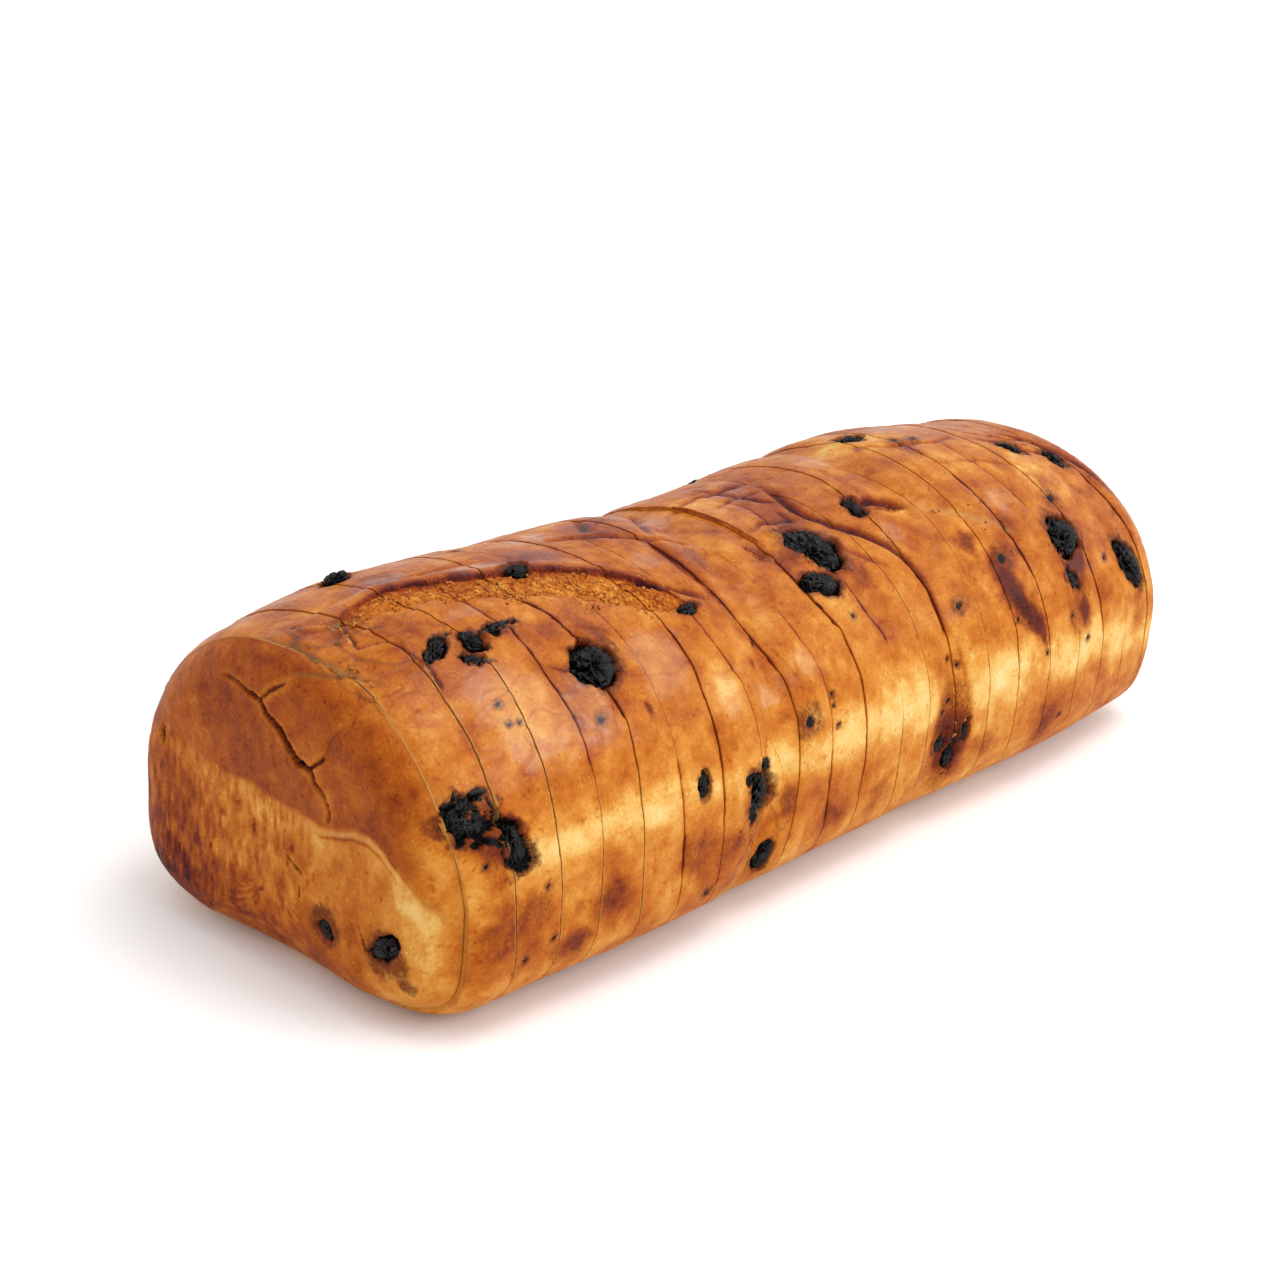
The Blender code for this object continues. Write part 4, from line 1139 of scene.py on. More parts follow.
def crust_finish():
    f = Finish("crust")
    bake, stain, crumb = f.mask("bake"), f.mask("stain"), f.mask("crumb")
    gloss, torn = f.mask("gloss"), f.mask("torn")
    mottle = f.noise(0.0042, 4.0) - 0.5
    cloud = f.noise(0.012, 2.0) - 0.5
    grain = f.noise(0.0008, 3.0) - 0.5
    specks = f.cells(0.0026).ease(0.15, 0.07)
    freckle = f.noise(0.0016, 2.0).ease(0.64, 0.74)
    shade = bake + mottle * 0.34 + cloud * 0.20 + grain * (0.20 + torn * 0.55) - specks * 0.10
    color = f.ramp((shade + freckle * 0.09).clamp(), BAKE_COLORS)
    # Stain with painted shade: fruit juice and bits of skin are real, while the cut lines, cracks and
    # gaps round the fruit are painted shade.
    stain_and_shade_level = (stain + (mottle + grain) * 0.6 * stain.ease(0.0, 0.4)).clamp()
    color = f.mix(stain_and_shade_level.ease(0.02, 0.62) * 0.82, color, STAIN_COLOR)
    # Near black for bits of skin and for the painted shade in cuts, cracks and the gaps round the fruit.
    color = f.mix(stain_and_shade_level.ease(0.60, 0.92), color, BURNT_AND_SHADE_COLOR)
    # Painted highlight: pale grey screened over the colour where the gloss mask is high.
    color = f.mix(gloss.ease(0.60, 1.10) * 0.62, color, PAINTED_SHEEN_COLOR, "SCREEN")
    color = f.mix((crumb * 0.9 + grain * crumb * 1.6).clamp(), color, CRUMB_COLOR)
    rough = 0.56 - gloss * 0.20 + grain * 0.20 + torn * 0.15
    height = f.noise(0.0007, 3.0) * (0.5 + torn) + f.noise(0.0024, 3.0) * 0.9 - specks * 0.3
    return f.surface(Base_Color=color, Roughness=rough, Specular_IOR_Level=0.10,
                     Coat_Weight=gloss.ease(0.20, 0.95) * 0.40, Coat_Roughness=0.20,
                     Normal=f.bump(height, 0.45, 0.0007))


CRUST = crust_finish()
print("nodes in the crust's finish:", len(CRUST.node_tree.nodes))

# %% [markdown]
# ## The slices
# Each slice follows the dough from one cut to the next. The knife wandered by a millimetre
# or two, so a cut is not a plane: its offset was read off the photo at a few angles and held
# to 2.2 mm, and both neighbours use the same one. Some cuts gape and their gap is painted black
# as shade, some are a thin line of painted shade, and along the pale band they show a toothed
# edge of cream crumb.

# %% How far each cut wanders, as (angle, millimetres along the loaf)
WANDER = {
    0: ((110, -1.8), (90, -1.8), (70, 0), (50, -0.5), (29, -0.8), (18, -0.2), (4, 1.4), (-20, 1.7)),
    1: ((62, -0.3), (40, -1.1), (27, -2), (11, -1.1), (-2, -0.2), (-16, 0.8)),
    2: ((57, 1.4), (40, 0.2), (15, -1.1), (-5, -0.1), (-17, 0.2)),
    3: ((80, -2.2), (70, -1.1), (65, 0.4), (50, -0.4), (35, 0.2), (24.5, -1.1), (10, -1.5)),
    4: ((73, -2), (65, 0.6), (54, 0.9), (41, -0.3), (33, 0.3), (14, -2.2), (-5, -2), (-16, -1.3)),
    5: ((66, -0.1), (50, -0.1), (32, -1.3), (18.8, -1.9), (7.5, -2.2), (-2.4, -2.2), (-8.4, -1.9)),
    6: ((51, 1.3), (40, 1.3), (32, 0), (22.6, -0.6), (10, -1.3), (0, -1.6)),
    7: ((95, -2.2), (51.5, -2.2), (44.7, -2), (35, -0.8), (32, -0.1), (0, 0)),
    8: ((82, -2.2), (53, -2.2), (47.7, -2), (42.4, -0.7), (35, 1.2), (26, 2.2), (17, 1.8),
        (10, 0.6), (0, -0.1), (-8.4, -1.1), (-17, -2.2)),
    9: ((73, -1), (55, -1), (44, -1.3), (35, -0.4), (31.7, 0.9), (25, 1.2), (17, 0.6), (10, 0),
        (-1, -0.4), (-13, -0.7)),
    10: ((115, 0), (92, -0.3), (69, -0.6), (60, -1.6), (50.7, -1.8), (44, -1), (35, 1.2),
         (22, 1.6), (15, 0.9), (6.7, 0.3), (0, 0.6), (-11, -0.7)),
    11: ((113, -2.2), (104, -0.9), (96, -2), (88, -0.6), (79.5, -1.9), (74, -2.2), (52, -2),
         (47.7, -0.9), (35, -0.3), (31, 1), (27, 1.6)),
    12: ((90, -0.8), (40, 0.6), (0, -0.4)),
    13: ((60, -2.2), (52, -2.2), (44.7, -1.5), (35.5, 0.4), (26.4, -0.2), (12, -0.9)),
    14: ((100, 1.2), (60, 2), (14, -1.7)),
    15: ((90, 0.8), (50, -1.2), (14, -2)),
    16: ((66, -2.2), (44, -2.2), (35, -1.3), (10, -1)),
    17: ((77, -2.2), (71, -2.2), (64, -1.8), (56, -0.9), (46, 0)),
    18: ((90, -1.6), (60, -0.9), (30, -0.1), (20, -0.1), (7.5, 0.7)),
    19: ((90, 0.4), (59, 1.2), (53, 1.2), (47, 2), (0, 0.8)),
    20: ((90, -1.8), (51, -1.3), (40, 0.2), (35, 0.7), (0, 0.5)),
}


def cut_wander(number, degrees):
    """Offset of a cut in millimetres at each angle, fading away on the back and the base."""
    stops = np.array(sorted(WANDER[number]), float).T
    shown = np.interp(degrees, *stops)
    back = 1.1 * np.sin(np.radians(2.0 * degrees + 50.0 * number)) * np.sin(np.radians(degrees))
    share = smooth((degrees - stops[0][-1] - 4.0) / 25.0) * (degrees < 227)
    offset = shown * (1.0 - share) + back * share
    base = smooth((np.abs(degrees - 270.0) - 43.0) / 22.0)
    return offset * np.where((degrees > 227) | (degrees < -25), base, 1.0)


# %% How each cut looks, as (cut, highest angle, lowest angle, strength)
# DARK_CUTS: where each cut's gap is painted dark as shade; the same strength curls the crust in there.
DARK_CUTS = (
    (0, 92, 62, 0.45), (1, 26, 21, 0.6), (3, 82, 24, 1.0), (4, 75, 32, 1.0), (4, 32, 20, 0.3),
    (5, 67, 48, 0.4), (5, 21, -10, 0.8), (6, 53, -2, 0.7), (7, 96, 66, 0.4), (7, 53, 30, 0.7),
    (8, 84, 60, 0.7), (8, 60, 29, 0.85), (8, 29, -18, 0.4), (9, 74, 54, 0.3), (9, 46, -14, 0.7),
    (10, 128, 62, 0.15), (10, 62, 34, 0.95), (10, 34, -12, 0.6), (11, 114, 72, 0.45),
    (11, 54, 25, 0.8), (13, 42, 10, 0.6), (14, 104, 58, 0.3), (14, 15, -3, 0.5), (15, 15, 2, 0.5),
    (16, 68, 28, 0.85), (16, 28, 8, 0.3), (17, 82, 45, 0.8), (18, 32, 4, 0.6), (19, 62, 45, 0.6),
    (20, 54, 32, 0.7), (6, 125, 96, 0.5), (5, 130, 100, 0.4), (13, 170, 120, 0.6),
    (3, 175, 120, 0.8), (7, 165, 118, 0.5), (10, 175, 130, 0.7), (15, 165, 110, 0.6),
    (18, 178, 125, 0.7),
)
PALE_CUTS = (
    (0, 108, 10, 0.75), (0, 10, -22, 0.2), (1, 64, -18, 0.7), (2, 60, -20, 0.55), (3, 22, -16, 0.5),
    (4, 16, -18, 0.5), (7, 2, -22, 0.9), (12, 60, -10, 0.15), (20, 20, -15, 0.3),
    (0, 180, 120, 0.6), (1, 190, 140, 0.5),
)
# Elsewhere every cut gets this faint line of painted shade.
FAINT = 0.07


def cut_strength(table, number, degrees, rest):
    """A table's strength for one cut at each angle, with soft ends."""
    total = np.full(degrees.shape, rest)
    for cut, high, low, strength in table:
        if cut == number:
            inside = smooth((high - degrees) / 3.0) * smooth((degrees - low) / 3.0)
            total = np.maximum(total, strength * inside)
    return total


def knife_edge(c, number, apart, seed):
    """Near a cut the crust curls in and frays, and the cut is painted dark as shade in the gap or shows
    crumb.
    """
    dark = cut_strength(DARK_CUTS, number, c.degrees, FAINT)
    pale = cut_strength(PALE_CUTS, number, c.degrees, 0.0)
    tooth = np.clip(c.noise(1.3, seed, 2) + 0.25, 0, 1)
    broken = np.clip(0.75 + 0.9 * c.noise(3.0, seed + 2, 2), 0.15, 1.2)
    c.dip(np.exp(-apart / 0.26) * (0.03 + 0.22 * dark * broken + 0.22 * tooth * (0.2 + pale)))
    c.dip(0.30 * dark * np.exp(-((apart / 1.4) ** 2)))
    c.push += 0.12 * MM * dark * np.exp(-(((apart - 3.0) / 1.6) ** 2))
    # A line of painted shade in the gap, with a little painted shade spreading onto the crust.
    line = np.exp(-((apart / (0.10 + 0.20 * dark * broken)) ** 2))
    c.bake += 0.34 * dark * broken * line + 0.07 * dark * np.exp(-apart / 1.3)
    c.mark("stain", 0.8, line * smooth((dark * broken - 0.80) / 0.25))
    c.mark("crumb", 0.6, pale * smooth((0.16 + 0.6 * tooth * broken - apart) / 0.2))


# %% Rows across a slice and rings over its cut faces
SLICE_COUNT = 20
HALF_GAP = 0.15
CRUST_SPACING = 0.42
EDGE_ROWS = (0.0, 0.12, 0.30, 0.55, 0.88)
FACE_SHARES = (0.30, 0.60, 0.80, 0.90, 0.955, 0.985)
CUTS = [(-LENGTH / 2 + FIRST_CUT + SLICE_PITCH * k) / MM for k in range(SLICE_COUNT + 1)]


def slice_stations(start, end):
    """Places across a slice, in millimetres, closest together at the two cuts."""
    inner = np.arange(start + 1.25, end - 1.2, CRUST_SPACING)
    edge = np.array(EDGE_ROWS)
    return np.concatenate([start + edge, inner, (end - edge)[::-1]])


MASKS = ("bake", "stain", "crumb", "gloss", "torn")


def face_rings(rim, level, inward, c, row):
    """Rings of a cut face from near its middle to just short of the crust's rim."""
    middle = np.array([level, 0.0, WIDEST_HEIGHT])
    rings = np.array([middle + (rim - middle) * share for share in FACE_SHARES])
    rings[..., 0] += inward * 0.12 * MM * np.abs(rough_noise(rings, 1.6 * MM, 90, 2))
    masks = {key: np.zeros(rings.shape[:2]) for key in MASKS}
    masks["crumb"][:] = np.array([1.0, 1.0, 0.8, 0.5, 0.2, 0.1])[:, None]
    masks["bake"][:] = 0.36 + 0.10 * rough_noise(rings, 4 * MM, 91, 2)
    return rings, masks


def keep_inside(points):
    """Hold points within the space of the solids."""
    low, high = np.array(cad_low) + 2e-5, np.array(cad_high) - 2e-5
    low[2] = cad_low[2]
    return np.clip(points, low, high)


def pressed(c):
    """The crust's points with their push, never below the table."""
    points = c.points + c.normals * c.push[..., None]
    points[..., 2] = np.maximum(points[..., 2], 0.0)
    return keep_inside(points)


def show_piece(name, mesh, node):
    """Link a finished mesh as the piece that stands for a solid."""
    obj = bpy.data.objects.new(name, mesh)
    bpy.context.scene.collection.objects.link(obj)
    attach(obj, "root")
    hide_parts(node)
    return obj


# %% Make one slice
SETTLED = (0.50, 0.32, 0.10, 0.0, 0.12, 0.0, 0.20, 0.05, 0.16, 0.0, 0.25, 0.0, 0.18, 0.24,
           0.05, 0.22, 0.10, 0.0, 0.2, 0.06, 0.24)


def slice_mesh(name, number):
    start, end = CUTS[number - 1], CUTS[number]
    stations = slice_stations(start + HALF_GAP, end - HALF_GAP) * MM
    flat, degrees = np.meshgrid(stations, ANGLES, indexing="ij")
    share = (flat / MM - start) / (end - start)
    bent = cut_wander(number - 1, degrees) * (1.0 - share) + cut_wander(number, degrees) * share
    x = flat + bent * MM
    points = dough_point(x, degrees)
    c = Crust(x, degrees, points, grid_normals(points))
    dress(c)
    knife_edge(c, number - 1, flat / MM - (start + HALF_GAP), 81)
    knife_edge(c, number, (end - HALF_GAP) - flat / MM, 82)
    c.dip(SETTLED[number] * smooth((c.side + 5.0) / 25.0))
    crust = pressed(c)
    crust[..., 0] = points[..., 0]
    near, near_masks = face_rings(crust[0], stations[0], 1, c, 0)
    far, far_masks = face_rings(crust[-1], stations[-1], -1, c, -1)
    rings = np.concatenate([near, crust, far[::-1]])
    masks = {key: np.concatenate([near_masks[key], getattr(c, key), far_masks[key][::-1]])
             for key in MASKS}
    middles = [np.array([s, 0.0, WIDEST_HEIGHT]) for s in (stations[0], stations[-1])]
    rims = (len(near), len(near) + len(stations) - 1)
    return stack_mesh(name, rings, middles[0], middles[1], masks, rims)


# %% Make a heel
HEEL_FACE_STEP, HEEL_CORNER_ROWS = 0.50, 34


def heel_mesh(name, end):
    """An end crust: flat face, rounded corner, then the cut."""
    face = end * LENGTH / 2
    cut = CUTS[0] * MM if end < 0 else CUTS[-1] * MM
    last = abs(face - cut) - HALF_GAP * MM
    rim = dough_point(face, ANGLES)
    middle = np.array([face, 0.0, WIDEST_HEIGHT])
    count = int(np.linalg.norm(rim - middle, axis=-1).mean() / (HEEL_FACE_STEP * MM))
    shares = np.linspace(0.0, 1.0, count + 1)[1:]
    flat = middle + (rim - middle) * shares[:, None, None]
    steps = np.arange(1, HEEL_CORNER_ROWS + 1) / HEEL_CORNER_ROWS
    depth = last * (1.0 - np.cos(np.pi * steps)) / 2.0
    degrees = np.broadcast_to(ANGLES, (count + len(depth), len(ANGLES)))
    corner = dough_point(np.broadcast_to((face - end * depth)[:, None], (len(depth), len(ANGLES))),
                         ANGLES[None, :])
    points = np.concatenate([flat, corner])
    flat_x = points[..., 0].copy()
    number = 0 if end < 0 else SLICE_COUNT
    towards_cut = np.concatenate([np.zeros(len(flat)), (depth / last) ** 2])[:, None]
    points[..., 0] += cut_wander(number, degrees) * towards_cut * MM
    fade = np.concatenate([np.ones(len(flat)), 1.0 - depth / last])
    points[..., 0] += end * dome_proud(points[..., 1], points[..., 2]) * fade[:, None]
    normals = grid_normals(points)
    facing = np.clip((0.97 - np.concatenate([shares, np.ones(len(depth))])) / 0.05, 0, 1)
    normals = normals + (np.array([end, 0.0, 0.0]) - normals) * facing[:, None, None]
    c = Crust(points[..., 0], degrees, points, normals)
    dress(c)
    near_end = 1.0 if end < 0 else 0.0
    c.dip(SETTLED[0] * near_end * smooth((c.side + 5.0) / 25.0) * towards_cut)
    knife_edge(c, number, np.abs(flat_x / MM - (cut / MM + end * HALF_GAP)), 82 if end < 0 else 81)
    crust = pressed(c)
    crust[-1, :, 0] = points[-1, :, 0]
    level = cut + end * HALF_GAP * MM
    cut_side, cut_masks = face_rings(crust[-1], level, end, c, -1)
    rings = np.concatenate([crust, cut_side[::-1]])
    masks = {key: np.concatenate([getattr(c, key), cut_masks[key][::-1]]) for key in MASKS}
    inner = np.array([level, 0.0, WIDEST_HEIGHT])
    tip = np.array([crust[0, :, 0].mean(), 0.0, WIDEST_HEIGHT])
    if end > 0:
        rings, tip, inner = rings[::-1], inner, tip
        masks = {key: values[::-1] for key, values in masks.items()}
    rim_row = len(crust) - 1 if end < 0 else len(rings) - len(crust)
    return stack_mesh(name, rings, tip, inner, masks, (rim_row,))


# %% Bake the loaf
def finish_piece(name, mesh, material, node):
    mesh.materials.append(material)
    return show_piece(name, mesh, node)


LOAF = []
for name, end in (("heel_near", -1), ("heel_far", 1)):
    mesh = heel_mesh("crust_" + name, end)
    LOAF.append(finish_piece("crust_" + name, mesh, CRUST, name))
for number in range(1, SLICE_COUNT + 1):
    name = f"slice_{number:02d}"
    mesh = slice_mesh("crust_" + name, number)
    LOAF.append(finish_piece("crust_" + name, mesh, CRUST, name))
triangles = sum(len(o.data.loops) - 2 * len(o.data.polygons) for o in LOAF)
print("triangles in the loaf:", triangles)

# %% [markdown]
# ## Raisins
# Every raisin is the same kind of thing, a dried grape that has folded in on itself, so one
# Geometry Nodes tree grows them all. Its inputs are the size, a seed, how deep the pleats
# are and how fine the mesh is. Ridged noise makes the folds, because a dried skin pleats
# into sharp crests with round valleys between.

# %% A small helper for building Geometry Nodes trees
def new_tree(name, inputs):
    """An empty tree with its sockets, and a function that adds nodes to it."""
    tree = bpy.data.node_groups.new(name, "GeometryNodeTree")
    tree.interface.new_socket("Geometry", in_out="OUTPUT", socket_type="NodeSocketGeometry")
    for label, kind in inputs:
        tree.interface.new_socket(label, in_out="INPUT", socket_type="NodeSocket" + kind)

    def add(kind, settings=None, **sockets):
        made = tree.nodes.new(kind)
        for key, value in (settings or {}).items():
            setattr(made, key, value)
        for key, value in sockets.items():
            target = made.inputs[int(key[1:])] if key[1:].isdigit() else made.inputs[key]
            if isinstance(value, bpy.types.NodeSocket):
                tree.links.new(value, target)
            else:
                target.default_value = value
        return made

    return tree, add


def finish_tree(tree, add, geometry, material):
    """Realize what the tree made and give it its material."""
    real = add("GeometryNodeRealizeInstances", Geometry=geometry)
    dressed = add("GeometryNodeSetMaterial", Geometry=real.outputs[0], Material=material)
    out = add("NodeGroupOutput")
    tree.links.new(dressed.outputs[0], out.inputs[0])
    return tree


# %% The tree that grows a raisin
def raisin_tree(material):
    inputs = (("Size", "Vector"), ("Seed", "Float"), ("Pleat", "Float"), ("Fineness", "Int"))
    tree, add = new_tree("raisin", inputs)
    given = add("NodeGroupInput").outputs
    ball = add("GeometryNodeMeshIcoSphere", Radius=1.0, Subdivisions=given["Fineness"])
    place = add("GeometryNodeInputPosition").outputs[0]
    settings = {"noise_dimensions": "4D"}
    broad = add("ShaderNodeTexNoise", settings, Vector=place, W=given["Seed"], Scale=0.9,
                Detail=1.0)
    folds = add("ShaderNodeTexNoise", settings, Vector=place, W=given["Seed"], Scale=1.7,
                Detail=0.8, Distortion=1.3)
    pleats = add("ShaderNodeTexNoise", settings, Vector=place, W=given["Seed"], Scale=4.6,
                 Detail=2.5, Distortion=1.0)

    def ridges(noise, strength):
        """Sharp crests where the noise passes through its middle value."""
        centred = add("ShaderNodeMath", {"operation": "SUBTRACT"}, _0=noise.outputs[0], _1=0.5)
        folded = add("ShaderNodeMath", {"operation": "ABSOLUTE"}, _0=centred.outputs[0])
        return add("ShaderNodeMath", {"operation": "MULTIPLY"}, _0=folded.outputs[0], _1=strength)

    deep = add("ShaderNodeMath", {"operation": "MULTIPLY"}, _0=ridges(folds, 3.0).outputs[0],
               _1=given["Pleat"])
    fine = add("ShaderNodeMath", {"operation": "MULTIPLY"}, _0=ridges(pleats, 0.28).outputs[0],
               _1=given["Pleat"])
    swell = add("ShaderNodeMath", {"operation": "MULTIPLY_ADD"}, _0=broad.outputs[0], _1=0.9,
                _2=0.6)
    lobed = add("ShaderNodeMath", {"operation": "SUBTRACT"}, _0=swell.outputs[0],
                _1=deep.outputs[0])
    radius = add("ShaderNodeMath", {"operation": "SUBTRACT"}, _0=lobed.outputs[0],
                 _1=fine.outputs[0])
    least = add("ShaderNodeMath", {"operation": "MAXIMUM"}, _0=radius.outputs[0], _1=0.25)
    shaped = add("ShaderNodeVectorMath", {"operation": "SCALE"}, Vector=place,
                 Scale=least.outputs[0])
    sized = add("ShaderNodeVectorMath", {"operation": "MULTIPLY"}, _0=shaped.outputs[0],
                _1=given["Size"])
    moved = add("GeometryNodeSetPosition", Geometry=ball.outputs[0], Position=sized.outputs[0])
    soft = add("GeometryNodeSetShadeSmooth", Geometry=moved.outputs[0])
    return finish_tree(tree, add, soft.outputs[0], material)


def grow(tree, name, points=(), **inputs):
    """Run a tree once, on points where it takes them, and keep a plain mesh."""
    start = bpy.data.meshes.new(name + "_start")
    start.from_pydata([tuple(p) for p in points], [], [])
    holder = bpy.data.objects.new(name + "_holder", start)
    bpy.context.scene.collection.objects.link(holder)
    modifier = holder.modifiers.new("grow", "NODES")
    modifier.node_group = tree
    for item in tree.interface.items_tree:
        if item.in_out == "INPUT" and item.name in inputs:
            modifier[item.identifier] = inputs[item.name]
    shaped = holder.evaluated_get(bpy.context.evaluated_depsgraph_get())
    mesh = bpy.data.meshes.new_from_object(shaped)
    holder.modifiers.remove(modifier)
    bpy.data.objects.remove(holder)
    mesh.name = name
    return mesh


# %% Skin of a baked raisin
def raisin_finish():
    f = Finish("raisin")
    bloom = f.noise(0.0018, 3.0)
    glint = f.noise(0.0005, 2.0)
    color = f.mix(bloom.ease(0.42, 0.72), srgb(9, 7, 8), srgb(25, 20, 22))
    color = f.mix(glint.ease(0.62, 0.80) * 0.45, color, srgb(50, 24, 17))
    rough = 0.26 + bloom * 0.26
    return f.surface(Base_Color=color, Roughness=rough, Specular_IOR_Level=0.17,
                     Coat_Weight=bloom.ease(0.35, 0.6) * 0.10, Coat_Roughness=0.20,
                     Normal=f.bump(glint * 0.5 + bloom, 0.35, 0.0005))


RAISIN = raisin_finish()
RAISIN_TREE = raisin_tree(RAISIN)

# %% Grow them, lay them in their seats and cut them where the knife did
def cut_between(mesh, low, high):
    """Keep what lies between two cuts and close it there."""
    work = bmesh.new()
    work.from_mesh(mesh)
    for place, side in ((low, -1), (high, 1)):
        geometry = work.verts[:] + work.edges[:] + work.faces[:]
        cut = bmesh.ops.bisect_plane(work, geom=geometry, plane_co=(place, 0, 0),
                                     plane_no=(side, 0, 0), clear_outer=True)
        rim = [e for e in cut["geom_cut"] if isinstance(e, bmesh.types.BMEdge)]
        if rim:
            bmesh.ops.holes_fill(work, edges=rim)
    work.to_mesh(mesh)
    work.free()


def fitted(mesh, size):
    """Stretch a grown raisin so that it just fills its size."""
    spots = np.empty(len(mesh.vertices) * 3)
    mesh.vertices.foreach_get("co", spots)
    spots = spots.reshape(-1, 3)
    low, high = spots.min(axis=0), spots.max(axis=0)
    mesh.vertices.foreach_set("co", ((spots - (low + high) / 2) * (size / (high - low))).ravel())


def hold_inside(mesh):
    """Keep a mesh's points within the space of the solids."""
    spots = np.empty(len(mesh.vertices) * 3)
    mesh.vertices.foreach_get("co", spots)
    mesh.vertices.foreach_set("co", keep_inside(spots.reshape(-1, 3)).ravel())
    mesh.update()


SINK, TORN_SINK = 0.40, 0.60
fruit = 0
for seed, (name, place) in enumerate(SEATS.items()):
    axes = Matrix(place["axes"].T.tolist()).to_4x4()
    sink = SINK + TORN_SINK * TORN_SEATS.get(name, 0.0)
    sunk = place["centre"] - place["axes"][2] * sink * MM
    matrix = Matrix.Translation(Vector(sunk)) @ axes
    for half in ("", "_a", "_b"):
        node = f"raisin_{name}{half}"
        if node not in nodes:
            continue
        fineness = 6 if place["size"][0] > 0.007 else 5
        mesh = grow(RAISIN_TREE, "fruit_" + name + half, Size=tuple(place["size"]),
                    Seed=7.3 * seed, Pleat=1.0, Fineness=fineness)
        fitted(mesh, place["size"])
        mesh.transform(matrix)
        hold_inside(mesh)
        low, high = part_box(node)
        middle = (low.x + high.x) / 2 / MM
        slab = int(np.searchsorted(CUTS, middle))
        edges = [-LENGTH / MM, *CUTS, LENGTH / MM]
        cut_between(mesh, (edges[slab] + HALF_GAP) * MM, (edges[slab + 1] - HALF_GAP) * MM)
        show_piece("fruit_" + name + half, mesh, node)
        fruit += 1
print("pieces of fruit:", fruit)

# %% [markdown]
# ## Crumbs and flakes
# Torn crumb sheds grains: they lie in the tear, the creases and the eye-shaped hole, and
# where crust broke at the cuts. One tree puts a lumpy grain on each point that it is given, turned
# and sized at random from a fixed seed. They are real mesh, in one piece for the whole loaf.

# %% The tree that lays crumbs on points
def crumb_tree(material):
    inputs = (("Geometry", "Geometry"), ("Smallest", "Float"), ("Largest", "Float"),
              ("Seed", "Int"))
    tree, add = new_tree("crumbs", inputs)
    given = add("NodeGroupInput").outputs
    ball = add("GeometryNodeMeshIcoSphere", Radius=1.0, Subdivisions=2)
    place = add("GeometryNodeInputPosition").outputs[0]
    lumps = add("ShaderNodeTexNoise", Vector=place, Scale=1.3, Detail=1.0)
    reach = add("ShaderNodeMath", {"operation": "MULTIPLY_ADD"}, _0=lumps.outputs[0], _1=1.3,
                _2=0.2)
    shaped = add("ShaderNodeVectorMath", {"operation": "SCALE"}, Vector=place,
                 Scale=reach.outputs[0])
    grain = add("GeometryNodeSetPosition", Geometry=ball.outputs[0], Position=shaped.outputs[0])
    soft = add("GeometryNodeSetShadeSmooth", Geometry=grain.outputs[0])
    turn = add("FunctionNodeRandomValue", {"data_type": "FLOAT_VECTOR"}, Seed=given["Seed"])
    turn.inputs["Max"].default_value = (math.tau, math.tau, math.tau)
    size = add("FunctionNodeRandomValue", {"data_type": "FLOAT"}, Seed=given["Seed"])
    tree.links.new(given["Smallest"], size.inputs[2])
    tree.links.new(given["Largest"], size.inputs[3])
    laid = add("GeometryNodeInstanceOnPoints", Points=given["Geometry"], Instance=soft.outputs[0],
               Rotation=turn.outputs[0], Scale=size.outputs[1])
    return finish_tree(tree, add, laid.outputs[0], material)


def crumb_finish():
    f = Finish("crumbs")
    tone = f.noise(0.0012, 2.0)
    color = f.ramp(tone, ((0.34, BAKE_COLORS[5][1]), (0.50, BAKE_COLORS[3][1]),
                          (0.68, BAKE_COLORS[2][1])))
    return f.surface(Base_Color=color, Roughness=0.75, Specular_IOR_Level=0.3,
                     Normal=f.bump(f.noise(0.0003, 2.0), 0.4, 0.0002))


# %% Choose where crumbs lie and set them on the shaped crust
CRUMB_PATCHES = (
    (-108, -98, 84, 93, 60), (-98, -86, 79, 90, 120), (-86, -70, 72, 86, 210),
    (-70, -56, 62, 80, 160), (-56, -46, 55, 69, 70), (-129, -127, 64, 78, 14),
    (-122, -120, 82, 93, 14), (-118, -112, 86, 91, 24), (-10, -6, 62, 70, 8),
    (36, 45, 62, 68, 20), (32, 36, -6, 9, 26), (1, 6, 52, 60, 14), (48, 70, 45, 58, 14),
    (-50, -42, -18, 0, 20),
)


def crust_spots(x, degrees):
    """Points on the finished crust at any stations and angles, as one list."""
    x, degrees = x[:, None] * MM, degrees[:, None]
    points = dough_point(x, degrees)
    over = dough_point(x, degrees + 1.0) - dough_point(x, degrees - 1.0)
    down = dough_point(x + MM, degrees) - dough_point(x - MM, degrees)
    normals = np.cross(down, over)
    normals /= np.linalg.norm(normals, axis=-1, keepdims=True)
    outward = points - np.array([0.0, 0.0, WIDEST_HEIGHT])
    outward[..., 0] = 0.0
    normals *= np.sign(np.einsum("ijk,ijk->ij", normals, outward))[..., None]
    c = Crust(x, degrees, points, normals)
    dress(c)
    return pressed(c)[:, 0]


dice = np.random.default_rng(11)
spots = [(dice.uniform(x0, x1, n), dice.uniform(d0, d1, n)) for x0, x1, d0, d1, n in CRUMB_PATCHES]
spots = crust_spots(np.concatenate([s[0] for s in spots]), np.concatenate([s[1] for s in spots]))
crumbs = grow(crumb_tree(crumb_finish()), "crumbs", spots, Smallest=0.14 * MM, Largest=0.46 * MM,
              Seed=5)
hold_inside(crumbs)
crumbs_piece = bpy.data.objects.new("crumbs", crumbs)
bpy.context.scene.collection.objects.link(crumbs_piece)
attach(crumbs_piece, "root")
print("crumbs:", len(spots), "triangles in them:", len(crumbs.polygons))

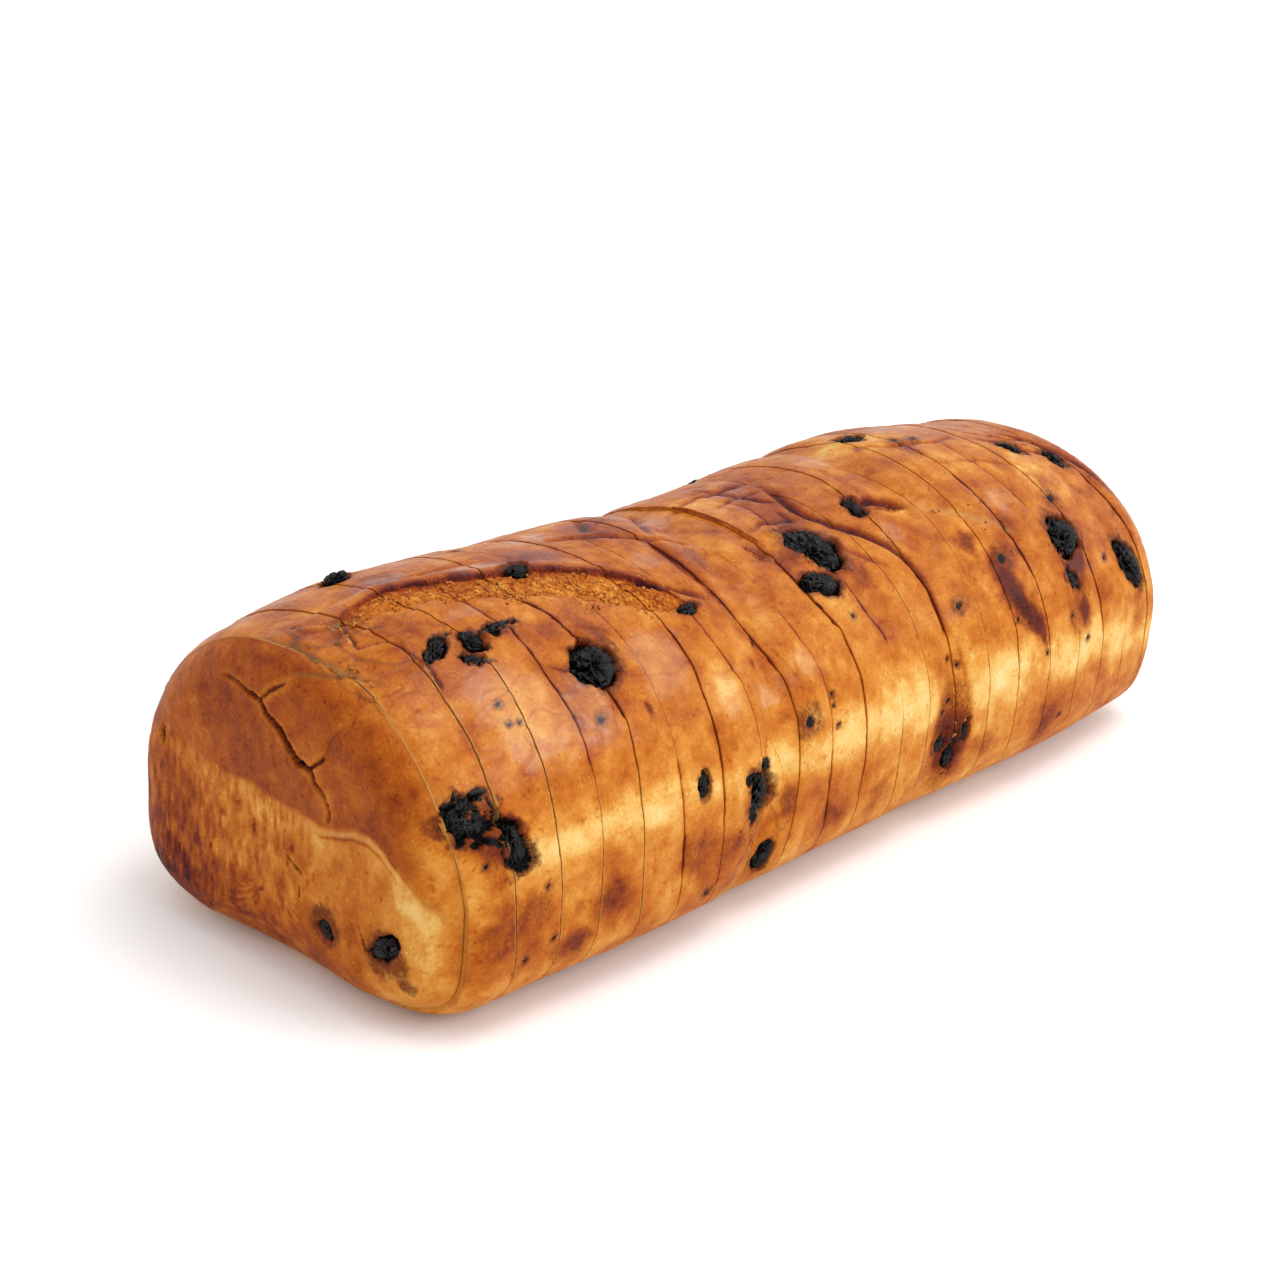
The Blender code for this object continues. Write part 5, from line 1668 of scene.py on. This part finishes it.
# %% [markdown]
# ## Floor, light and camera
# The photograph is bright and nearly shadowless, so the loaf stands on a pale floor in soft
# light from large panels. The camera stands where the photograph's did, as the same fit that
# gave the loaf's sizes found it.

# %% Floor and light
def pale_floor():
    mesh = bpy.data.meshes.new("floor")
    reach = 6.0
    corners = [(-reach, -reach, 0), (reach, -reach, 0), (reach, reach, 0), (-reach, reach, 0)]
    mesh.from_pydata(corners, [], [(0, 1, 2, 3)])
    f = Finish("pale_floor")
    grain = f.noise(0.01)
    color = f.mix(grain, srgb(250, 250, 250), srgb(253, 253, 253))
    mesh.materials.append(f.surface(Base_Color=color, Roughness=0.9))
    obj = bpy.data.objects.new("floor", mesh)
    bpy.context.scene.collection.objects.link(obj)


def panel(name, place, target, size, power, color=(1.0, 1.0, 1.0)):
    """A soft light panel at a place, facing a target."""
    data = bpy.data.lights.new(name, "AREA")
    data.shape, data.size, data.size_y = "RECTANGLE", size[0], size[1]
    data.energy, data.color = power, color
    obj = bpy.data.objects.new(name, data)
    obj.location = place
    facing = Vector(target) - Vector(place)
    obj.rotation_euler = facing.to_track_quat("-Z", "Y").to_euler()
    bpy.context.scene.collection.objects.link(obj)


pale_floor()
world = bpy.data.worlds.new("studio")
bpy.context.scene.world = world
world.use_nodes = True
world.node_tree.nodes["Background"].inputs["Color"].default_value = (1.0, 1.0, 1.0, 1.0)
world.node_tree.nodes["Background"].inputs["Strength"].default_value = 1.0
panel("key", (0.45, -1.15, 0.75), (0.0, 0.0, 0.04), (0.7, 0.7), 6.5)
panel("over", (0.15, -0.30, 1.25), (0.0, 0.0, 0.04), (0.9, 0.6), 6.0)
scene = bpy.context.scene
scene.view_settings.view_transform = "Standard"
scene.view_settings.look = "None"

# %% Camera
AZIMUTH, ELEVATION, ROLL = math.radians(-51.75), math.radians(22.07), math.radians(5.05)
CAMERA_DISTANCE = 0.62214
AIM = Vector((0.0, 0.0, 0.040))
PHOTO_SIZE = 1280
FOCAL_PIXELS = 2596.09
PRINCIPAL_POINT = (705.13, 640.86)
SENSOR = 36.0

back = Vector((math.sin(AZIMUTH) * math.cos(ELEVATION), -math.cos(AZIMUTH) * math.cos(ELEVATION),
               math.sin(ELEVATION)))
level = Vector((math.cos(AZIMUTH), math.sin(AZIMUTH), 0.0))
upright = back.cross(level)
right = level * math.cos(ROLL) + upright * math.sin(ROLL)
up = upright * math.cos(ROLL) - level * math.sin(ROLL)
camera_data = bpy.data.cameras.new("camera")
camera_data.sensor_width = SENSOR
camera_data.lens = FOCAL_PIXELS * SENSOR / PHOTO_SIZE
camera_data.shift_x = -(PRINCIPAL_POINT[0] - PHOTO_SIZE / 2) / PHOTO_SIZE
camera_data.shift_y = (PRINCIPAL_POINT[1] - PHOTO_SIZE / 2) / PHOTO_SIZE
camera_data.clip_start, camera_data.clip_end = 0.01, 50.0
camera = bpy.data.objects.new("camera", camera_data)
turn = Matrix((right, up, back)).transposed().to_4x4()
camera.matrix_world = Matrix.Translation(AIM + back * CAMERA_DISTANCE) @ turn
scene.collection.objects.link(camera)
scene.camera = camera
print("lens:", round(camera_data.lens, 1), "mm")
